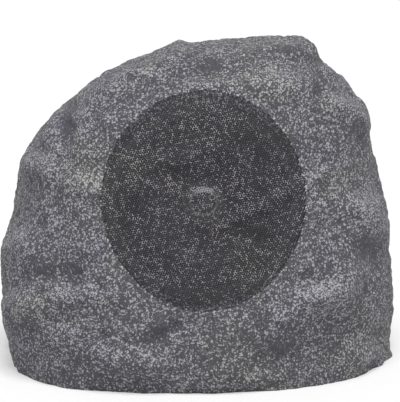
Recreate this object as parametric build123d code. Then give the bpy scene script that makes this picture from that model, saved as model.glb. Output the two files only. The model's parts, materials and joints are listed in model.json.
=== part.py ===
from build123d import *
import os
from math import atan2, cos, degrees, exp, hypot, radians, sin
from typing import NamedTuple

# Garden loudspeaker moulded as a boulder, with a two-way driver behind a grille that follows the rock's face.
# Millimetres. +Z is up, the front faces -Y, and the origin is on the ground under the middle of the rock.

# Rock
ROCK_WIDTH = 332
ROCK_DEPTH = 287
ROCK_HEIGHT = 271
ROCK_WALL = 6
# Facets round the rock, and rows of facets from the ground to the top
FACET_COLUMNS = 36
FACET_ROWS = 15
# How far single corners of the facets stand in or out
FACET_ROUGHNESS = 1.2
# Rows of flat faces inside the rock
CAVITY_ROWS = 9
# Levels from the ground up: shares of the height, width and depth, then how far the middle of the level stands
# to the right and to the back, as shares of the width and the depth
ROCK_LEVELS = (
    (0.000, 0.960, 0.941, 0.007, -0.002),
    (0.166, 0.996, 0.997, 0.002, -0.002),
    (0.332, 0.994, 0.969, 0.003, 0.016),
    (0.480, 0.946, 0.913, 0.011, 0.026),
    (0.627, 0.901, 0.833, 0.005, 0.024),
    (0.756, 0.813, 0.739, 0.036, 0.012),
    (0.867, 0.636, 0.641, 0.056, -0.009),
    (0.945, 0.470, 0.530, 0.084, -0.019),
    (1.000, 0.330, 0.330, 0.108, -0.009),
)
# Slope of the rock's top towards the back, and how quickly lower levels come to lie flat
TOP_FALL = 0.08
TOP_FALL_POWER = 4
# How square the quarters of a level are, where 2 is an ellipse: back right, back left, front left, front right
ROCK_FULLNESS = (2.5, 2.6, 3.0, 2.3)
# Lumps and hollows: direction in degrees from the right, share of the height, reach in degrees, reach as a
# share of the height, and rise as a share of the width
ROCK_LUMPS = (
    (312, 0.33, 20, 0.11, 0.016),
    (306, 0.15, 22, 0.10, -0.016),
    (232, 0.16, 20, 0.12, 0.010),
    (205, 0.66, 16, 0.14, -0.014),
    (158, 0.45, 20, 0.16, 0.016),
    (118, 0.66, 22, 0.15, -0.018),
    (78, 0.45, 20, 0.14, 0.014),
    (40, 0.22, 18, 0.13, -0.014),
    (30, 0.70, 20, 0.13, 0.012),
)

# Base
BASE_OUTLINE_POINTS = 16
FLANGE_UNDERSIDE = 10
FLANGE_THICKNESS = 6
FLANGE_WIDTH = 17
PLATE_THICKNESS = 5
PLATE_GAP = 0.8
BASE_GASKET_THICKNESS = 2
BASE_SCREW_COUNT = 8
BASE_SCREW_LENGTH = 12
PLATE_RIB_THICKNESS = 3
PLATE_RIB_HEIGHT = 7

# Baffle and grille
DRIVER_X = 5.5
DRIVER_AXIS_HEIGHT = 127
BAFFLE_TILT = 15
BAFFLE_DEPTH = 24
BAFFLE_THICKNESS = 9
RECESS_WALL = 5
GRILLE_WIDTH = 172
GRILLE_HEIGHT = 186
GRILLE_FULLNESS = (2.0, 2.0, 1.9, 1.9)
GRILLE_GAP = 0.3
GRILLE_SHEET = 1.2
GRILLE_SKIRT = 1.4
GRILLE_OUTLINE_POINTS = 12
GRILLE_HOLE_WIDTH = 9
GRILLE_HOLE_PITCH = 14.8
GRILLE_ROW_TURN = 10
GRILLE_BORDER = 1.5

# Fasteners: radius of the shank, radius and height of the head
FIT = 0.05
SCREW_RADIUS = 2
SCREW_HEAD_RADIUS = 4
SCREW_HEAD_HEIGHT = 2.4
BOARD_SCREW_RADIUS = 1.5
BOARD_SCREW_HEAD_RADIUS = 2.8
BOARD_SCREW_HEAD_HEIGHT = 1.8
BOARD_SCREW_LENGTH = 7

# Woofer, heights measured from the baffle's front along the driver's axis
WOOFER_CUTOUT_RADIUS = 72.5
WOOFER_GASKET_THICKNESS = 1.5
WOOFER_FRAME_RADIUS = 82.5
WOOFER_FRAME_OPENING = 66.5
WOOFER_FLANGE_THICKNESS = 2.5
WOOFER_SCREW_CIRCLE = 78
WOOFER_SCREW_COUNT = 8
WOOFER_SCREW_LENGTH = 11
BASKET_WALL = 2.5
BASKET_MOUTH_RADIUS = 70
BASKET_LEDGE_RADIUS = 54
BASKET_LEDGE_DEPTH = 26
BASKET_CUP_RADIUS = 47.5
BASKET_DEPTH = 42
BASKET_WINDOW_COUNT = 6
BASKET_WINDOW_WIDTH = 36
BASKET_WINDOW_MARGIN = 4
CONE_RADIUS = 57
CONE_LAND = 4
CONE_DEPTH = 24
CONE_THICKNESS = 0.8
SURROUND_THICKNESS = 0.8
SURROUND_LAND = 6
SPIDER_THICKNESS = 0.7
SPIDER_WAVE = 1.6
SPIDER_WAVE_COUNT = 3
SPIDER_COLLAR = 3
SPIDER_CLEARANCE = 0.8
FORMER_RADIUS = 16
FORMER_THICKNESS = 0.3
COIL_THICKNESS = 0.9
COIL_LENGTH = 12
MAGNET_GAP_CLEARANCE = 0.8
MAGNET_RADIUS = 42
MAGNET_THICKNESS = 16
MAGNET_BORE_RADIUS = 22
FRONT_PLATE_RADIUS = 40
FRONT_PLATE_THICKNESS = 6
YOKE_THICKNESS = 6
TERMINAL_STRIP_SIZE = (24, 13, 1.6)
TERMINAL_TAB_SIZE = (6.3, 13, 0.8)
TERMINAL_TAB_SPACING = 13

# Tweeter on its post
POST_RADIUS = 5
POST_BORE_RADIUS = 3
POST_SHOULDER_RADIUS = 9
POST_SHOULDER_THICKNESS = 3
POST_FLANGE_RADIUS = 12
POST_FLANGE_THICKNESS = 3
POST_NUT_WIDTH = 16
POST_NUT_THICKNESS = 5
POST_END = 1.5
TWEETER_RADIUS = 17.5
TWEETER_CUP_WALL = 1.5
TWEETER_CUP_FLOOR = 2
TWEETER_CUP_DEPTH = 16
TWEETER_POT_RADIUS = 13
TWEETER_POT_WALL = 2.6
TWEETER_POT_FLOOR = 3
TWEETER_MAGNET_THICKNESS = 4
TWEETER_TOP_PLATE_THICKNESS = 3
TWEETER_GAP = 1.1
DOME_RADIUS = 10
DOME_RISE = 3.4
DOME_THICKNESS = 0.4
DOME_SKIRT = 7
FACEPLATE_THICKNESS = 2
LIP_RADIUS = 11.6
LIP_THICKNESS = 1.2
LIP_HEIGHT = 3
LIP_GAP = 1.5

# Cable gland, heights measured outwards from the floor of its pocket
GLAND_X = 0
GLAND_HEIGHT = 46
GLAND_POCKET_RADIUS = 16
GLAND_POCKET_DEPTH = 21
GLAND_WALL = 6
CABLE_RADIUS = 3.5
CABLE_CLEARANCE = 0.1
GLAND_THREAD_RADIUS = 6
GLAND_THREAD_END = 2
GLAND_HEX_WIDTH = 19
GLAND_HEX_THICKNESS = 4
GLAND_BARREL_RADIUS = 7.4
GLAND_BARREL_LENGTH = 8
GLAND_SEAL_THICKNESS = 2
GLAND_SEAL_LENGTH = 7
GLAND_SEAL_PROUD = 1
GLAND_CAP_RADIUS = 10
GLAND_CAP_NOSE = 4
GLAND_CAP_CHAMFER = 2
GLAND_CAP_GAP = 0.5
LOCKNUT_WIDTH = 17
LOCKNUT_THICKNESS = 4

# Crossover on the base plate
BOARD_LENGTH = 96
BOARD_WIDTH = 64
BOARD_THICKNESS = 1.6
BOARD_Y = 12
BOARD_STANDOFF_RADIUS = 4
BOARD_STANDOFF_HEIGHT = 8
BOARD_SCREW_MARGIN = 5
INDUCTOR_RADIUS = 14
INDUCTOR_BORE_RADIUS = 5
INDUCTOR_HEIGHT = 16
INDUCTOR_CHEEK = 2
INDUCTOR_WINDING = 2
CAPACITOR_SIZE = (10, 26, 18)
CAPACITOR_SPACING = 15
CAPACITOR_EDGE = 1.5
RESISTOR_SIZE = (22, 9, 9)
TERMINAL_BLOCK_SIZE = (20, 12, 11)
TERMINAL_BLOCK_HOLE_RADIUS = 1.6
TERMINAL_BLOCK_HOLE_DEPTH = 7
LEAD_RADIUS = 1.1
LEAD_BEND = 9
LEAD_DROP = 26
TWEETER_LEAD_RADIUS = 0.8
TWEETER_LEAD_SPACING = 2.4
TWEETER_LEAD_TAIL = 22
LEAD_PAD_MARGIN = 9

# Radii and heights that follow from those sizes
CABLE_BORE_RADIUS = CABLE_RADIUS + CABLE_CLEARANCE
SEAL_RADIUS = CABLE_BORE_RADIUS + GLAND_SEAL_THICKNESS
FLANGE_TOP = FLANGE_UNDERSIDE + FLANGE_THICKNESS
PLATE_TOP = FLANGE_UNDERSIDE - BASE_GASKET_THICKNESS
PLATE_UNDERSIDE = PLATE_TOP - PLATE_THICKNESS
BOARD_UNDERSIDE = PLATE_TOP + BOARD_STANDOFF_HEIGHT
BOARD_TOP = BOARD_UNDERSIDE + BOARD_THICKNESS
CAVITY_TOP = ROCK_HEIGHT - 2 * ROCK_WALL
FRAME_FRONT = WOOFER_GASKET_THICKNESS + WOOFER_FLANGE_THICKNESS
LEDGE_TOP = FRAME_FRONT - BASKET_LEDGE_DEPTH - BASKET_WALL
LEDGE_UNDERSIDE = LEDGE_TOP - BASKET_WALL
BASKET_BACK = FRAME_FRONT - BASKET_DEPTH - BASKET_WALL
FRONT_PLATE_BACK = BASKET_BACK - FRONT_PLATE_THICKNESS
MAGNET_BACK = FRONT_PLATE_BACK - MAGNET_THICKNESS
YOKE_BACK = MAGNET_BACK - YOKE_THICKNESS
CONE_NECK = FRAME_FRONT - CONE_DEPTH
CONE_COLLAR_END = LEDGE_TOP + SPIDER_THICKNESS + SPIDER_CLEARANCE
FORMER_OUTSIDE = FORMER_RADIUS + FORMER_THICKNESS
COIL_MIDDLE = BASKET_BACK - FRONT_PLATE_THICKNESS / 2
COIL_BACK = COIL_MIDDLE - COIL_LENGTH / 2
LIP_TOP = BAFFLE_DEPTH - GRILLE_SHEET - LIP_GAP
FACEPLATE_FRONT = LIP_TOP - LIP_HEIGHT
CUP_FRONT = FACEPLATE_FRONT - FACEPLATE_THICKNESS
CUP_BACK = CUP_FRONT - TWEETER_CUP_DEPTH
POT_BACK = CUP_BACK + TWEETER_CUP_FLOOR
TWEETER_MAGNET_BACK = POT_BACK + TWEETER_POT_FLOOR
TOP_PLATE_BACK = TWEETER_MAGNET_BACK + TWEETER_MAGNET_THICKNESS
POT_FRONT = TOP_PLATE_BACK + TWEETER_TOP_PLATE_THICKNESS
TOP_PLATE_RADIUS = TWEETER_POT_RADIUS - TWEETER_POT_WALL - TWEETER_GAP


# Plain forms


def turned(*profile):
    """Solid turned about the Z axis from a closed profile of (radius, height) points."""
    outline = Polyline(*[(radius, 0, height) for radius, height in profile], close=True)
    return revolve(make_face(outline), Axis.Z)


def ring(inside, outside, low, high):
    """Plain ring about the Z axis."""
    return turned((inside, low), (outside, low), (outside, high), (inside, high))


def disc(radius, low, high):
    """Plain round plate about the Z axis."""
    return Pos(0, 0, low) * extrude(Circle(radius), high - low)


def hexagon(width, low, high):
    """Hexagonal bar about the Z axis, with its width across the flats."""
    return Pos(0, 0, low) * extrude(RegularPolygon(width / 2, 6, major_radius=False), high - low)


def pan_screw(radius, head_radius, head_height, length):
    """Pan head screw whose head sits on the origin, with the shank down the Z axis."""
    return turned(
        (0, -length),
        (radius, -length),
        (radius, 0),
        (head_radius, 0),
        (head_radius, head_height / 2),
        (head_radius - head_height / 2, head_height),
        (0, head_height),
    )


def group(pieces):
    """Several separate solids that share one name."""
    return Compound([piece.solid() for piece in pieces])


# Rock outlines


class Level(NamedTuple):
    height: float
    half_width: float
    half_depth: float
    x: float
    y: float


LEVELS = [
    Level(ROCK_HEIGHT * up, ROCK_WIDTH * wide / 2, ROCK_DEPTH * deep / 2, ROCK_WIDTH * right, ROCK_DEPTH * back)
    for up, wide, deep, right, back in ROCK_LEVELS
]


def level_at(height):
    """Level of the rock at a height, in between the two levels next to it."""
    for low, high in zip(LEVELS, LEVELS[1:]):
        if height <= high.height:
            break
    share = (height - low.height) / (high.height - low.height)
    return Level(*[below + (above - below) * share for below, above in zip(low, high)])


def rounded_radius(angle, half_width, half_depth, fullness):
    """Distance from the middle to a rounded outline whose four quarters differ in fullness."""
    power = fullness[int(angle % 360 // 90)]
    across = abs(cos(radians(angle))) / half_width
    along = abs(sin(radians(angle))) / half_depth
    return (across**power + along**power) ** (-1 / power)


def lump_rise(height, angle):
    """How far the lumps and hollows move the rock's face outwards."""
    rise = 0
    for direction, up, wide, tall, top in ROCK_LUMPS:
        turn = ((angle - direction + 180) % 360 - 180) / wide
        climb = (height / ROCK_HEIGHT - up) / tall
        rise += ROCK_WIDTH * top * exp(-(turn**2) - climb**2)
    return rise


def rock_point(level, angle):
    """Point of the rock's face at a level, in a direction from the middle of that level."""
    radius = rounded_radius(angle, level.half_width, level.half_depth, ROCK_FULLNESS)
    radius += lump_rise(level.height, angle)
    x = level.x + radius * cos(radians(angle))
    y = level.y + radius * sin(radians(angle))
    return Vector(x, y, level.height)


def rock_points(height, inset, count):
    """Points spaced round the rock at a height, moved inwards by an inset."""
    level = level_at(height)
    points = []
    for step in range(count):
        angle = 360 * step / count
        along = (rock_point(level, angle + 1) - rock_point(level, angle - 1)).normalized()
        points.append(rock_point(level, angle) + Vector(-along.Y, along.X, 0) * inset)
    return points


def base_face(inset):
    """Smooth outline of the rock on the ground, moved inwards by an inset."""
    return make_face(Spline(*rock_points(0, inset, BASE_OUTLINE_POINTS), periodic=True))


def sloped(points, height):
    """Points of a level, lowered behind its front edge as the rock's top falls to the back."""
    level = level_at(height)
    slope = TOP_FALL * (height / ROCK_HEIGHT) ** TOP_FALL_POWER
    front = level.y - level.half_depth
    return [point - Vector(0, 0, slope * (point.Y - front)) for point in points]


def facet_corners(row, height, inset):
    """Corners of one row of facets, each a little in or out of the smooth section."""
    corners = []
    for column, point in enumerate(rock_points(height, inset, FACET_COLUMNS)):
        outwards = Vector(point.X, point.Y, 0).normalized()
        corners.append(point + outwards * FACET_ROUGHNESS * sin(5 * row + 2.4 * column))
    return sloped(corners, height)


def faceted(sections):
    """Solid of three-sided facets between sections that have equally many corners."""
    faces = [Face(Wire.make_polygon(section)) for section in (sections[0], sections[-1])]
    for low, high in zip(sections, sections[1:]):
        for a, b, c, d in zip(low, low[1:] + low[:1], high[1:] + high[:1], high):
            faces += [Face(Wire.make_polygon(corners)) for corners in ((a, b, c), (a, c, d))]
    return Part() + Solid(Shell(faces))


def rock_solid(inset):
    """Whole boulder, with its sides moved inwards by an inset."""
    heights = [ROCK_HEIGHT * row / FACET_ROWS for row in range(FACET_ROWS + 1)]
    return faceted([facet_corners(row, height, inset) for row, height in enumerate(heights)])


def wall_inset(height):
    """Level inset that keeps the wall as thick where the rock leans in."""
    low, high = level_at(height - ROCK_WALL), level_at(min(height + ROCK_WALL, ROCK_HEIGHT))
    narrowing = low.half_width + low.half_depth - high.half_width - high.half_depth
    return ROCK_WALL * hypot(1, narrowing / 2 / (high.height - low.height))


def surface_point(rock, start, direction):
    """Point where a line from inside the rock comes out of it."""
    line = Edge.make_line(start, start + direction * ROCK_WIDTH)
    ends = [vertex.center() for vertex in rock.intersect(line).vertices()]
    return max(ends, key=lambda point: (point - start).length)


rock = rock_solid(0)

facing = Vector(0, -cos(radians(BAFFLE_TILT)), sin(radians(BAFFLE_TILT)))
grille_middle = surface_point(rock, Vector(DRIVER_X, 0, DRIVER_AXIS_HEIGHT), facing)
baffle = Plane(grille_middle - facing * BAFFLE_DEPTH, x_dir=(1, 0, 0), z_dir=facing)

gland_exit = surface_point(rock, Vector(GLAND_X, 0, GLAND_HEIGHT), Vector(0, 1, 0))
gland_floor = Plane(gland_exit - Vector(0, GLAND_POCKET_DEPTH, 0), x_dir=(1, 0, 0), z_dir=(0, 1, 0))


# Grille


def grille_prism(growth, low):
    """Block with the grille's outline, grown or shrunk, from a height over the baffle to past the rock."""
    points = []
    for step in range(GRILLE_OUTLINE_POINTS):
        angle = 360 * step / GRILLE_OUTLINE_POINTS
        radius = rounded_radius(angle, GRILLE_WIDTH / 2, GRILLE_HEIGHT / 2, GRILLE_FULLNESS) + growth
        points.append((radius * cos(radians(angle)), radius * sin(radians(angle)), low))
    outline = make_face(Spline(*points, periodic=True))
    return baffle * extrude(outline, 3 * BAFFLE_DEPTH - low)


def grille_hole_places():
    """Places of the holes in staggered rows, inside the grille's border."""
    rows = int(GRILLE_HEIGHT / GRILLE_HOLE_PITCH)
    places = []
    for row in range(-rows, rows + 1):
        for column in range(-rows, rows + 1):
            x = GRILLE_HOLE_PITCH * (column + row % 2 / 2)
            y = GRILLE_HOLE_PITCH * row * cos(radians(30))
            turned_spot = Vector(x, y).rotate(Axis.Z, GRILLE_ROW_TURN)
            angle = degrees(atan2(turned_spot.Y, turned_spot.X))
            edge = rounded_radius(angle, GRILLE_WIDTH / 2, GRILLE_HEIGHT / 2, GRILLE_FULLNESS)
            if turned_spot.length + GRILLE_HOLE_WIDTH / 2 + GRILLE_SKIRT + GRILLE_BORDER <= edge:
                places.append(Pos(turned_spot))
    return places


def make_grille():
    """Perforated sheet with the rock's relief, and a skirt that stands on the baffle."""
    plug = rock & grille_prism(0, 0)
    room = rock_solid(GRILLE_SHEET) & grille_prism(-GRILLE_SKIRT, 0)
    punch = Rot(0, 0, GRILLE_ROW_TURN) * hexagon(GRILLE_HOLE_WIDTH, FRAME_FRONT, 3 * BAFFLE_DEPTH)
    return plug - room - [baffle * place * punch for place in grille_hole_places()]


# Shell and base


def base_screw_places():
    """Middle of the base flange at each base screw."""
    return rock_points(0, ROCK_WALL + FLANGE_WIDTH / 2, BASE_SCREW_COUNT)


def woofer_screw_places():
    """Screws of the woofer on their circle, on the local Z axis."""
    return PolarLocations(WOOFER_SCREW_CIRCLE, WOOFER_SCREW_COUNT, start_angle=180 / WOOFER_SCREW_COUNT)


def make_cavity():
    """Space inside the rock above the base flange."""
    rise = (CAVITY_TOP - FLANGE_TOP) / CAVITY_ROWS
    heights = [FLANGE_TOP + rise * row for row in range(CAVITY_ROWS + 1)]
    return faceted([sloped(rock_points(height, wall_inset(height), FACET_COLUMNS), height) for height in heights])


def make_rock_shell():
    """Hollow boulder with its baffle, grille recess, cable pocket and base flange."""
    plate_pocket = extrude(base_face(ROCK_WALL), FLANGE_UNDERSIDE)
    flange_opening = extrude(base_face(ROCK_WALL + FLANGE_WIDTH), FLANGE_TOP + 1)
    baffle_block = rock & grille_prism(GRILLE_GAP + RECESS_WALL, -BAFFLE_THICKNESS)
    pocket_reach = 2 * GLAND_POCKET_DEPTH
    gland_boss = rock & (gland_floor * disc(GLAND_POCKET_RADIUS + RECESS_WALL, -GLAND_WALL, pocket_reach))
    shell = rock - [make_cavity(), plate_pocket, flange_opening] + [baffle_block, gland_boss]
    screw_hole = disc(SCREW_RADIUS + FIT, 1 - BAFFLE_THICKNESS, 1)
    base_screw_hole = disc(SCREW_RADIUS + FIT, 0, PLATE_UNDERSIDE + BASE_SCREW_LENGTH + 1)
    cuts = [
        grille_prism(GRILLE_GAP, 0),
        baffle * disc(WOOFER_CUTOUT_RADIUS, -2 * BAFFLE_THICKNESS, BAFFLE_THICKNESS),
        gland_floor * disc(GLAND_POCKET_RADIUS, 0, pocket_reach),
        gland_floor * disc(GLAND_THREAD_RADIUS + FIT, -2 * GLAND_WALL, GLAND_WALL),
    ]
    cuts += [baffle * place * screw_hole for place in woofer_screw_places()]
    cuts += [Pos(place) * base_screw_hole for place in base_screw_places()]
    return shell - cuts


def board_screw_places():
    """Corners of the crossover board where it is screwed down."""
    x = BOARD_LENGTH / 2 - BOARD_SCREW_MARGIN
    y = BOARD_WIDTH / 2 - BOARD_SCREW_MARGIN
    return [Pos(side * x, BOARD_Y + end * y) for side in (-1, 1) for end in (-1, 1)]


def make_base_plate():
    """Moulded plate under the rock, with ribs and the standoffs of the board."""
    plate = Pos(0, 0, PLATE_UNDERSIDE) * extrude(base_face(ROCK_WALL + PLATE_GAP), PLATE_THICKNESS)
    length = ROCK_WIDTH - 4 * (ROCK_WALL + FLANGE_WIDTH)
    for side in (-1, 1):
        y = BOARD_Y + side * (BOARD_WIDTH / 2 + BOARD_STANDOFF_RADIUS)
        rib = Box(length, PLATE_RIB_THICKNESS, PLATE_RIB_HEIGHT)
        plate += Pos(0, y, PLATE_TOP + PLATE_RIB_HEIGHT / 2) * rib
    for place in board_screw_places():
        plate += place * disc(BOARD_STANDOFF_RADIUS, PLATE_TOP, BOARD_UNDERSIDE)
        plate -= place * disc(BOARD_SCREW_RADIUS + FIT, PLATE_TOP, BOARD_UNDERSIDE)
    for place in base_screw_places():
        plate -= Pos(place) * disc(SCREW_RADIUS + FIT, 0, PLATE_TOP)
    return plate


def make_base_gasket():
    """Flat ring between the base plate and the flange."""
    sheet = base_face(ROCK_WALL + PLATE_GAP) - base_face(ROCK_WALL + FLANGE_WIDTH)
    gasket = Pos(0, 0, PLATE_TOP) * extrude(sheet, BASE_GASKET_THICKNESS)
    for place in base_screw_places():
        gasket -= Pos(place) * disc(SCREW_RADIUS + FIT, PLATE_TOP, FLANGE_UNDERSIDE)
    return gasket


def make_base_screws():
    """Screws that hold the base plate from below."""
    screw = Rot(180, 0, 0) * pan_screw(SCREW_RADIUS, SCREW_HEAD_RADIUS, SCREW_HEAD_HEIGHT, BASE_SCREW_LENGTH)
    return group([Pos(place.X, place.Y, PLATE_UNDERSIDE) * screw for place in base_screw_places()])


# Cable gland


def make_gland_body():
    """Threaded body with a hexagon outside the wall and a seat for the seal."""
    barrel_end = GLAND_HEX_THICKNESS + GLAND_BARREL_LENGTH
    inner_end = -GLAND_WALL - LOCKNUT_THICKNESS - GLAND_THREAD_END
    body = hexagon(GLAND_HEX_WIDTH, 0, GLAND_HEX_THICKNESS)
    body += disc(GLAND_THREAD_RADIUS, inner_end, 0)
    body += disc(GLAND_BARREL_RADIUS, GLAND_HEX_THICKNESS, barrel_end)
    body -= disc(CABLE_BORE_RADIUS, inner_end, barrel_end)
    return body - disc(SEAL_RADIUS + FIT, seal_back(), barrel_end)


def seal_back():
    """Seat of the seal inside the gland's barrel."""
    return GLAND_HEX_THICKNESS + GLAND_BARREL_LENGTH + GLAND_SEAL_PROUD - GLAND_SEAL_LENGTH


def make_gland_seal():
    """Rubber sleeve that closes on the cable."""
    return ring(CABLE_BORE_RADIUS, SEAL_RADIUS, seal_back(), seal_back() + GLAND_SEAL_LENGTH)


def make_gland_cap():
    """Domed nut that presses the seal."""
    back = GLAND_HEX_THICKNESS + GLAND_CAP_GAP
    shoulder = seal_back() + GLAND_SEAL_LENGTH
    front = shoulder + GLAND_CAP_NOSE
    inside = GLAND_BARREL_RADIUS + FIT
    return turned(
        (inside, back),
        (GLAND_CAP_RADIUS, back),
        (GLAND_CAP_RADIUS, front - GLAND_CAP_CHAMFER),
        (GLAND_CAP_RADIUS - GLAND_CAP_CHAMFER, front),
        (CABLE_BORE_RADIUS, front),
        (CABLE_BORE_RADIUS, shoulder),
        (inside, shoulder),
    )


def make_gland_locknut():
    """Hexagon nut against the inside of the wall."""
    nut = hexagon(LOCKNUT_WIDTH, -GLAND_WALL - LOCKNUT_THICKNESS, -GLAND_WALL)
    return nut - disc(GLAND_THREAD_RADIUS + FIT, -GLAND_WALL - LOCKNUT_THICKNESS, -GLAND_WALL)


# Woofer


def drilled_for_woofer_screws(piece):
    """A flat ring of the woofer with its screw holes."""
    for place in woofer_screw_places():
        piece -= place * disc(SCREW_RADIUS + FIT, 0, FRAME_FRONT)
    return piece


def make_woofer_gasket():
    """Foam ring under the woofer's flange."""
    gasket = ring(WOOFER_CUTOUT_RADIUS, WOOFER_FRAME_RADIUS, 0, WOOFER_GASKET_THICKNESS)
    return drilled_for_woofer_screws(gasket)


def make_woofer_basket():
    """Pressed frame: flange, sloping wall with windows, spider ledge, cup and back."""
    basket = turned(
        (WOOFER_FRAME_RADIUS, WOOFER_GASKET_THICKNESS),
        (WOOFER_FRAME_RADIUS, FRAME_FRONT),
        (WOOFER_FRAME_OPENING, FRAME_FRONT),
        (BASKET_LEDGE_RADIUS - BASKET_WALL, LEDGE_TOP),
        (BASKET_CUP_RADIUS - BASKET_WALL, LEDGE_TOP),
        (BASKET_CUP_RADIUS - BASKET_WALL, BASKET_BACK + BASKET_WALL),
        (MAGNET_BORE_RADIUS, BASKET_BACK + BASKET_WALL),
        (MAGNET_BORE_RADIUS, BASKET_BACK),
        (BASKET_CUP_RADIUS, BASKET_BACK),
        (BASKET_CUP_RADIUS, LEDGE_UNDERSIDE),
        (BASKET_LEDGE_RADIUS, LEDGE_UNDERSIDE),
        (BASKET_MOUTH_RADIUS, WOOFER_GASKET_THICKNESS),
    )
    low = LEDGE_TOP + BASKET_WINDOW_MARGIN
    high = WOOFER_GASKET_THICKNESS - BASKET_WINDOW_MARGIN
    for place in PolarLocations(WOOFER_FRAME_OPENING, BASKET_WINDOW_COUNT):
        window = Box(WOOFER_FRAME_OPENING, BASKET_WINDOW_WIDTH, high - low)
        basket -= place * Pos(0, 0, (low + high) / 2) * window
    return drilled_for_woofer_screws(basket)


def make_woofer_screws():
    """Screws that hold the woofer to the baffle."""
    screw = pan_screw(SCREW_RADIUS, SCREW_HEAD_RADIUS, SCREW_HEAD_HEIGHT, WOOFER_SCREW_LENGTH)
    return group([place * Pos(0, 0, FRAME_FRONT) * screw for place in woofer_screw_places()])


def make_woofer_cone():
    """Cone with a flat land for the surround and a collar round the former."""
    neck = FORMER_OUTSIDE + FIT
    slope = CONE_DEPTH / (CONE_RADIUS - CONE_LAND - neck)
    return turned(
        (CONE_RADIUS, FRAME_FRONT - CONE_THICKNESS),
        (CONE_RADIUS, FRAME_FRONT),
        (CONE_RADIUS - CONE_LAND, FRAME_FRONT),
        (neck, CONE_NECK),
        (neck, CONE_COLLAR_END),
        (neck + CONE_THICKNESS, CONE_COLLAR_END),
        (neck + CONE_THICKNESS, CONE_NECK - CONE_THICKNESS * hypot(1, slope) + CONE_THICKNESS * slope),
        (CONE_RADIUS - CONE_LAND + CONE_THICKNESS / slope, FRAME_FRONT - CONE_THICKNESS),
    )


def make_woofer_surround():
    """Half roll of rubber between the cone's land and the frame."""
    middle = (CONE_RADIUS + WOOFER_FRAME_OPENING) / 2
    inside = (WOOFER_FRAME_OPENING - CONE_RADIUS) / 2
    outside = inside + SURROUND_THICKNESS
    top = FRAME_FRONT + SURROUND_THICKNESS
    reach = (outside**2 - SURROUND_THICKNESS**2) ** 0.5
    profile = [
        ThreePointArc(
            (CONE_RADIUS, 0, FRAME_FRONT),
            (middle, 0, FRAME_FRONT + inside),
            (WOOFER_FRAME_OPENING, 0, FRAME_FRONT),
        ),
        Polyline(
            (WOOFER_FRAME_OPENING, 0, FRAME_FRONT),
            (WOOFER_FRAME_OPENING + SURROUND_LAND, 0, FRAME_FRONT),
            (WOOFER_FRAME_OPENING + SURROUND_LAND, 0, top),
            (middle + reach, 0, top),
        ),
        ThreePointArc((middle + reach, 0, top), (middle, 0, FRAME_FRONT + outside), (middle - reach, 0, top)),
        Polyline(
            (middle - reach, 0, top),
            (CONE_RADIUS - CONE_LAND, 0, top),
            (CONE_RADIUS - CONE_LAND, 0, FRAME_FRONT),
            (CONE_RADIUS, 0, FRAME_FRONT),
        ),
    ]
    return revolve(make_face(profile), Axis.Z)


def make_woofer_spider():
    """Corrugated disc that centres the former on the frame's ledge."""
    collar = FORMER_OUTSIDE + FIT
    start = collar + SPIDER_THICKNESS
    end = BASKET_CUP_RADIUS - BASKET_WALL
    steps = 2 * SPIDER_WAVE_COUNT
    crests = [
        (start + (end - start) * step / steps, LEDGE_TOP + (SPIDER_WAVE if step % 2 else 0))
        for step in range(steps + 1)
    ]
    crests.append((BASKET_LEDGE_RADIUS - 2 * BASKET_WALL, LEDGE_TOP))
    under = [(collar, LEDGE_TOP - SPIDER_COLLAR), (start, LEDGE_TOP - SPIDER_COLLAR), *crests]
    over = [(radius, height + SPIDER_THICKNESS) for radius, height in reversed(crests)]
    return turned(*under, *over, (collar, LEDGE_TOP + SPIDER_THICKNESS))


def make_voice_coil_former():
    """Thin tube from the cone's neck into the magnet's gap."""
    return ring(FORMER_RADIUS, FORMER_OUTSIDE, COIL_BACK, CONE_NECK)


def make_voice_coil():
    """Winding on the former."""
    return ring(FORMER_OUTSIDE, FORMER_OUTSIDE + COIL_THICKNESS, COIL_BACK, COIL_BACK + COIL_LENGTH)


def make_front_plate():
    """Steel plate round the gap."""
    bore = FORMER_OUTSIDE + COIL_THICKNESS + MAGNET_GAP_CLEARANCE
    return ring(bore, FRONT_PLATE_RADIUS, FRONT_PLATE_BACK, BASKET_BACK)


def make_yoke():
    """Steel back plate and pole, bored for the tweeter's post."""
    bore = POST_RADIUS + FIT
    pole = FORMER_RADIUS - MAGNET_GAP_CLEARANCE
    return turned(
        (bore, YOKE_BACK),
        (FRONT_PLATE_RADIUS, YOKE_BACK),
        (FRONT_PLATE_RADIUS, MAGNET_BACK),
        (pole, MAGNET_BACK),
        (pole, BASKET_BACK),
        (bore, BASKET_BACK),
    )


def terminal_radius():
    """Inner end of the terminal strip, just clear of the basket's cup."""
    return BASKET_CUP_RADIUS + GRILLE_GAP


def make_terminal_strip():
    """Insulating strip under the ledge, at the bottom of the driver."""
    wide, deep, thick = TERMINAL_STRIP_SIZE
    return Pos(0, -terminal_radius() - deep / 2, LEDGE_UNDERSIDE - thick / 2) * Box(wide, deep, thick)


def tab_tip():
    """Outer end of the solder tabs, in the middle of their thickness: radius and height."""
    radius = terminal_radius() + TERMINAL_STRIP_SIZE[1] / 2 + TERMINAL_TAB_SIZE[1]
    return radius, LEDGE_UNDERSIDE - TERMINAL_STRIP_SIZE[2] - TERMINAL_TAB_SIZE[2] / 2


def make_terminal_tabs():
    """Two solder tabs under the strip."""
    radius, height = tab_tip()
    y = -radius + TERMINAL_TAB_SIZE[1] / 2
    tab = Box(*TERMINAL_TAB_SIZE)
    return group([Pos(side * TERMINAL_TAB_SPACING / 2, y, height) * tab for side in (-1, 1)])


# Tweeter


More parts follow.
